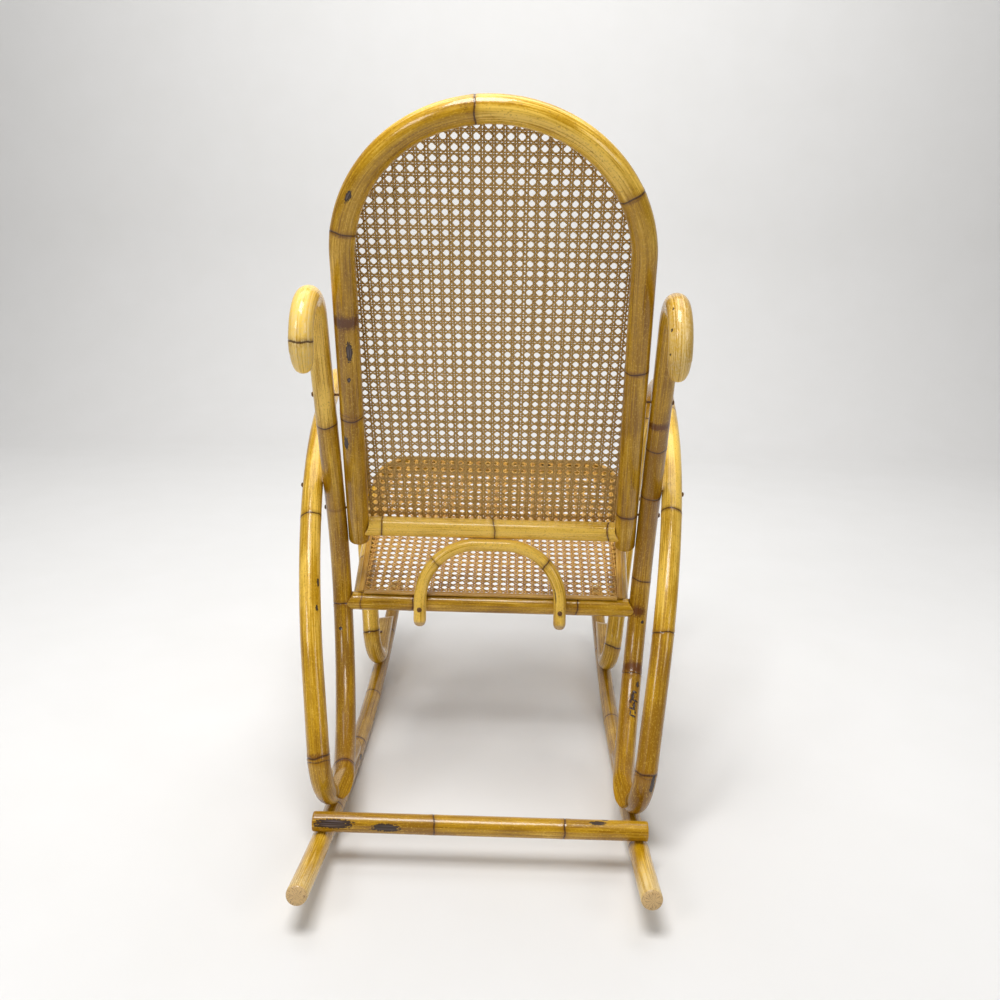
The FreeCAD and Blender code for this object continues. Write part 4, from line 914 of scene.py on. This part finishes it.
seatFace = seatTurn @ np.array([0, 0, 1.0])
rimPath = inSeat(hoopLine[:, 0], hoopLine[:, 1], np.full(len(hoopLine), binding["seatUp"]))
rearEnd = np.array([binding["seatHalf"], 0, binding["seatUp"]])
rearPath = inSeat(*np.linspace(rearEnd, rearEnd * np.array([-1, 1, 1]), 200).T)
seatStrips = [stripSurface(rimPath, seatFace, binding, 3), stripSurface(rearPath, seatFace, binding, 4)]
addPiece("seatBinding", joinedSurfaces(seatStrips), stripSkin, ["seat_binding"], 50)
print("bindings made")

# screws: a domed head with a slot, turned about its axis, on a plain shank
screw = {"head": 4.25, "high": 2.6, "shank": 2.0, "slot": 0.55, "deep": 1.1, "around": 36}
# spot under the head, the way in, and the length, for the chair's left side
screwSpots = {
    "crossing_screws": [((319.344, 57.134, 502.457), (-0.98914, 0, 0.14699), 56)],
    "seat_screws": [((302.46, -347.742, 388.836), (-0.98914, 0, 0.14699), 56)],
    "arch_screws": [
        ((285.205, 36.246, 459.586), (-1, 0, 0), 56),
        ((281.191, 132.341, 668.511), (-1, 0, 0), 56),
    ],
    "brace_screws": [((122.0, 62.585, 285.432), (0, -0.97703, -0.21311), 44)],
    "foot_screws": [
        ((241.501, -286.137, 96.318), (-0.14328, -0.22328, -0.96417), 49),
        ((237.554, 163.879, 69.756), (-0.14668, 0.06481, -0.98706), 49),
    ],
}


# Rows run from the shank's tip to the crown: radius and height pairs, each turned through a full circle.
def screwSurface(spot, way, long, dims):
    inward = np.array(way, float) / np.linalg.norm(way)
    helper = np.array([0, 0, 1.0]) if abs(inward[2]) < 0.9 else np.array([0, 1.0, 0])
    first = np.cross(inward, helper)
    first = first / np.linalg.norm(first)
    second = np.cross(first, -inward)
    low = np.array([[0.4, -long], [1.4, -long + 2], [1.0, -long + 3.5], [1.0, -1.0], [1.0, 0]])
    low = low * np.array([dims["shank"], 1])
    dome = np.linspace(0, 0.47 * math.pi, 9)
    top = np.stack([dims["head"] * np.cos(dome) ** 0.8, dims["high"] * np.sin(dome)], 1)
    rows = np.vstack([low, top])
    a = np.linspace(0, 2 * math.pi, dims["around"], endpoint=False)
    x = rows[:, :1] * np.cos(a)[None]
    y = rows[:, :1] * np.sin(a)[None]
    z = rows[:, 1:] + 0 * x
    slot = soft(dims["slot"] + 0.25, dims["slot"] - 0.05, np.abs(x)) * (z > 0.4)
    z = z - slot * dims["deep"] * soft(0.2, 1.4, z)
    points = np.array(spot) + x[..., None] * first + y[..., None] * second - z[..., None] * inward
    return closedTube(points, {})


for node, spots in screwSpots.items():
    parts = []
    for spot, way, long in spots:
        for side in (1, -1):
            flip = np.array([side, 1, 1])
            parts.append(screwSurface(np.array(spot) * flip, np.array(way) * flip, long, screw))
    words = node.split("_")
    screwName = words[0] + words[1].capitalize()
    addPiece(screwName, joinedSurfaces(parts), screwMetal, [node], 35)
print("screws made")

# studio: a pale floor that curves up into a wall, soft lamps and the camera
studio = {
    "floor": tint(224, 223, 221), "mottle": tint(228, 227, 226), "air": 0.2,
    "front": 3.2, "rear": -2.6, "bend": 1.0, "high": 4.0, "half": 6.0,
}


# Level from the front to the rear, then a quarter circle up, then a straight wall. Sizes are in metres.
def backdropSurface(dims):
    a = np.linspace(0, math.pi / 2, 24)[1:]
    level = np.linspace(dims["front"], dims["rear"], 12)
    wall = dims["rear"] - dims["bend"]
    y = np.concatenate([level, dims["rear"] - dims["bend"] * np.sin(a), [wall]])
    z = np.concatenate([0 * level, dims["bend"] * (1 - np.cos(a)), [dims["high"]]])
    x = np.linspace(-dims["half"], dims["half"], 9)
    points = np.stack([x[None] + 0 * y[:, None], y[:, None] + 0 * x[None], z[:, None] + 0 * x[None]], 2)
    number = np.arange(len(y) * len(x)).reshape(len(y), len(x))
    corners = [number[:-1, :-1], number[1:, :-1], number[1:, 1:], number[:-1, 1:]]
    quads = np.stack(corners, 2).reshape(-1, 4)
    return points.reshape(-1, 3), quads.tolist()


floorMesh = bpy.data.meshes.new("studioFloor")
floorPoints, floorQuads = backdropSurface(studio)
floorMesh.from_pydata(floorPoints, [], floorQuads)
floorMesh.shade_smooth()
floorFinish, floorTree, floorShader = newFinish("studioPaper")
floorPlace = wire(floorTree, "ShaderNodeTexCoord").outputs["Object"]
paper = speckle(floorTree, floorPlace, (6, 6, 6), 2.0)
floorColour = blended(floorTree, paper, studio["floor"], studio["mottle"])
floorTree.links.new(floorColour, floorShader.inputs["Base Color"])
floorShader.inputs["Roughness"].default_value = 0.9
floorMesh.materials.append(floorFinish)
floor = bpy.data.objects.new("studioFloor", floorMesh)
scene.collection.objects.link(floor)

# spot, aim, size and power
lamps = {
    "overhead": ((0.3, 1.0, 3.0), (0, 0, 0.4), 1.2, 67),
    "keySide": ((2.0, 2.6, 2.3), (0, 0, 0.55), 0.9, 24),
    "fillSide": ((-2.6, 2.2, 1.9), (0, 0, 0.5), 1.0, 14),
    "wallWash": ((0, -1.3, 3.6), (0, -3.5, 0.8), 3.4, 94),
}
for name, (spot, aim, size, power) in lamps.items():
    light = bpy.data.lights.new(name, "AREA")
    light.shape = "SQUARE"
    light.size = size
    light.energy = power
    lamp = bpy.data.objects.new(name, light)
    away = Vector(spot) - Vector(aim)
    lamp.rotation_euler = away.to_track_quat("Z", "Y").to_euler()
    lamp.location = spot
    scene.collection.objects.link(lamp)

world = bpy.data.worlds.new("studioAir")
scene.world = world
world.use_nodes = True
air = world.node_tree.nodes["Background"]
air.inputs["Color"].default_value = (1, 1, 1, 1)
air.inputs["Strength"].default_value = studio["air"]

# camera where the photograph was taken from: behind the chair, a little above it
view = {"spot": (-40.97, 1623.2, 895.77), "down": 14.698, "swing": 0.984, "roll": 1.2, "lens": 34.56}
down, swing, roll = (math.radians(view[key]) for key in ("down", "swing", "roll"))
ahead = np.array([math.sin(swing) * math.cos(down), -math.cos(swing) * math.cos(down), -math.sin(down)])
right = np.array([-math.cos(swing), -math.sin(swing), 0])
above = np.cross(right, ahead)
levelX = math.cos(roll) * right + math.sin(roll) * above
levelY = math.cos(roll) * above - math.sin(roll) * right
lens = bpy.data.cameras.new("photoCamera")
lens.lens = view["lens"]
lens.sensor_width = 36
lens.sensor_fit = "HORIZONTAL"
camera = bpy.data.objects.new("photoCamera", lens)
turning = Matrix(np.stack([levelX, levelY, -ahead], 1).tolist()).to_4x4()
turning.translation = [value * mm for value in view["spot"]]
camera.matrix_world = turning
scene.collection.objects.link(camera)
scene.camera = camera
scene.view_settings.view_transform = "Standard"
print("studio set")
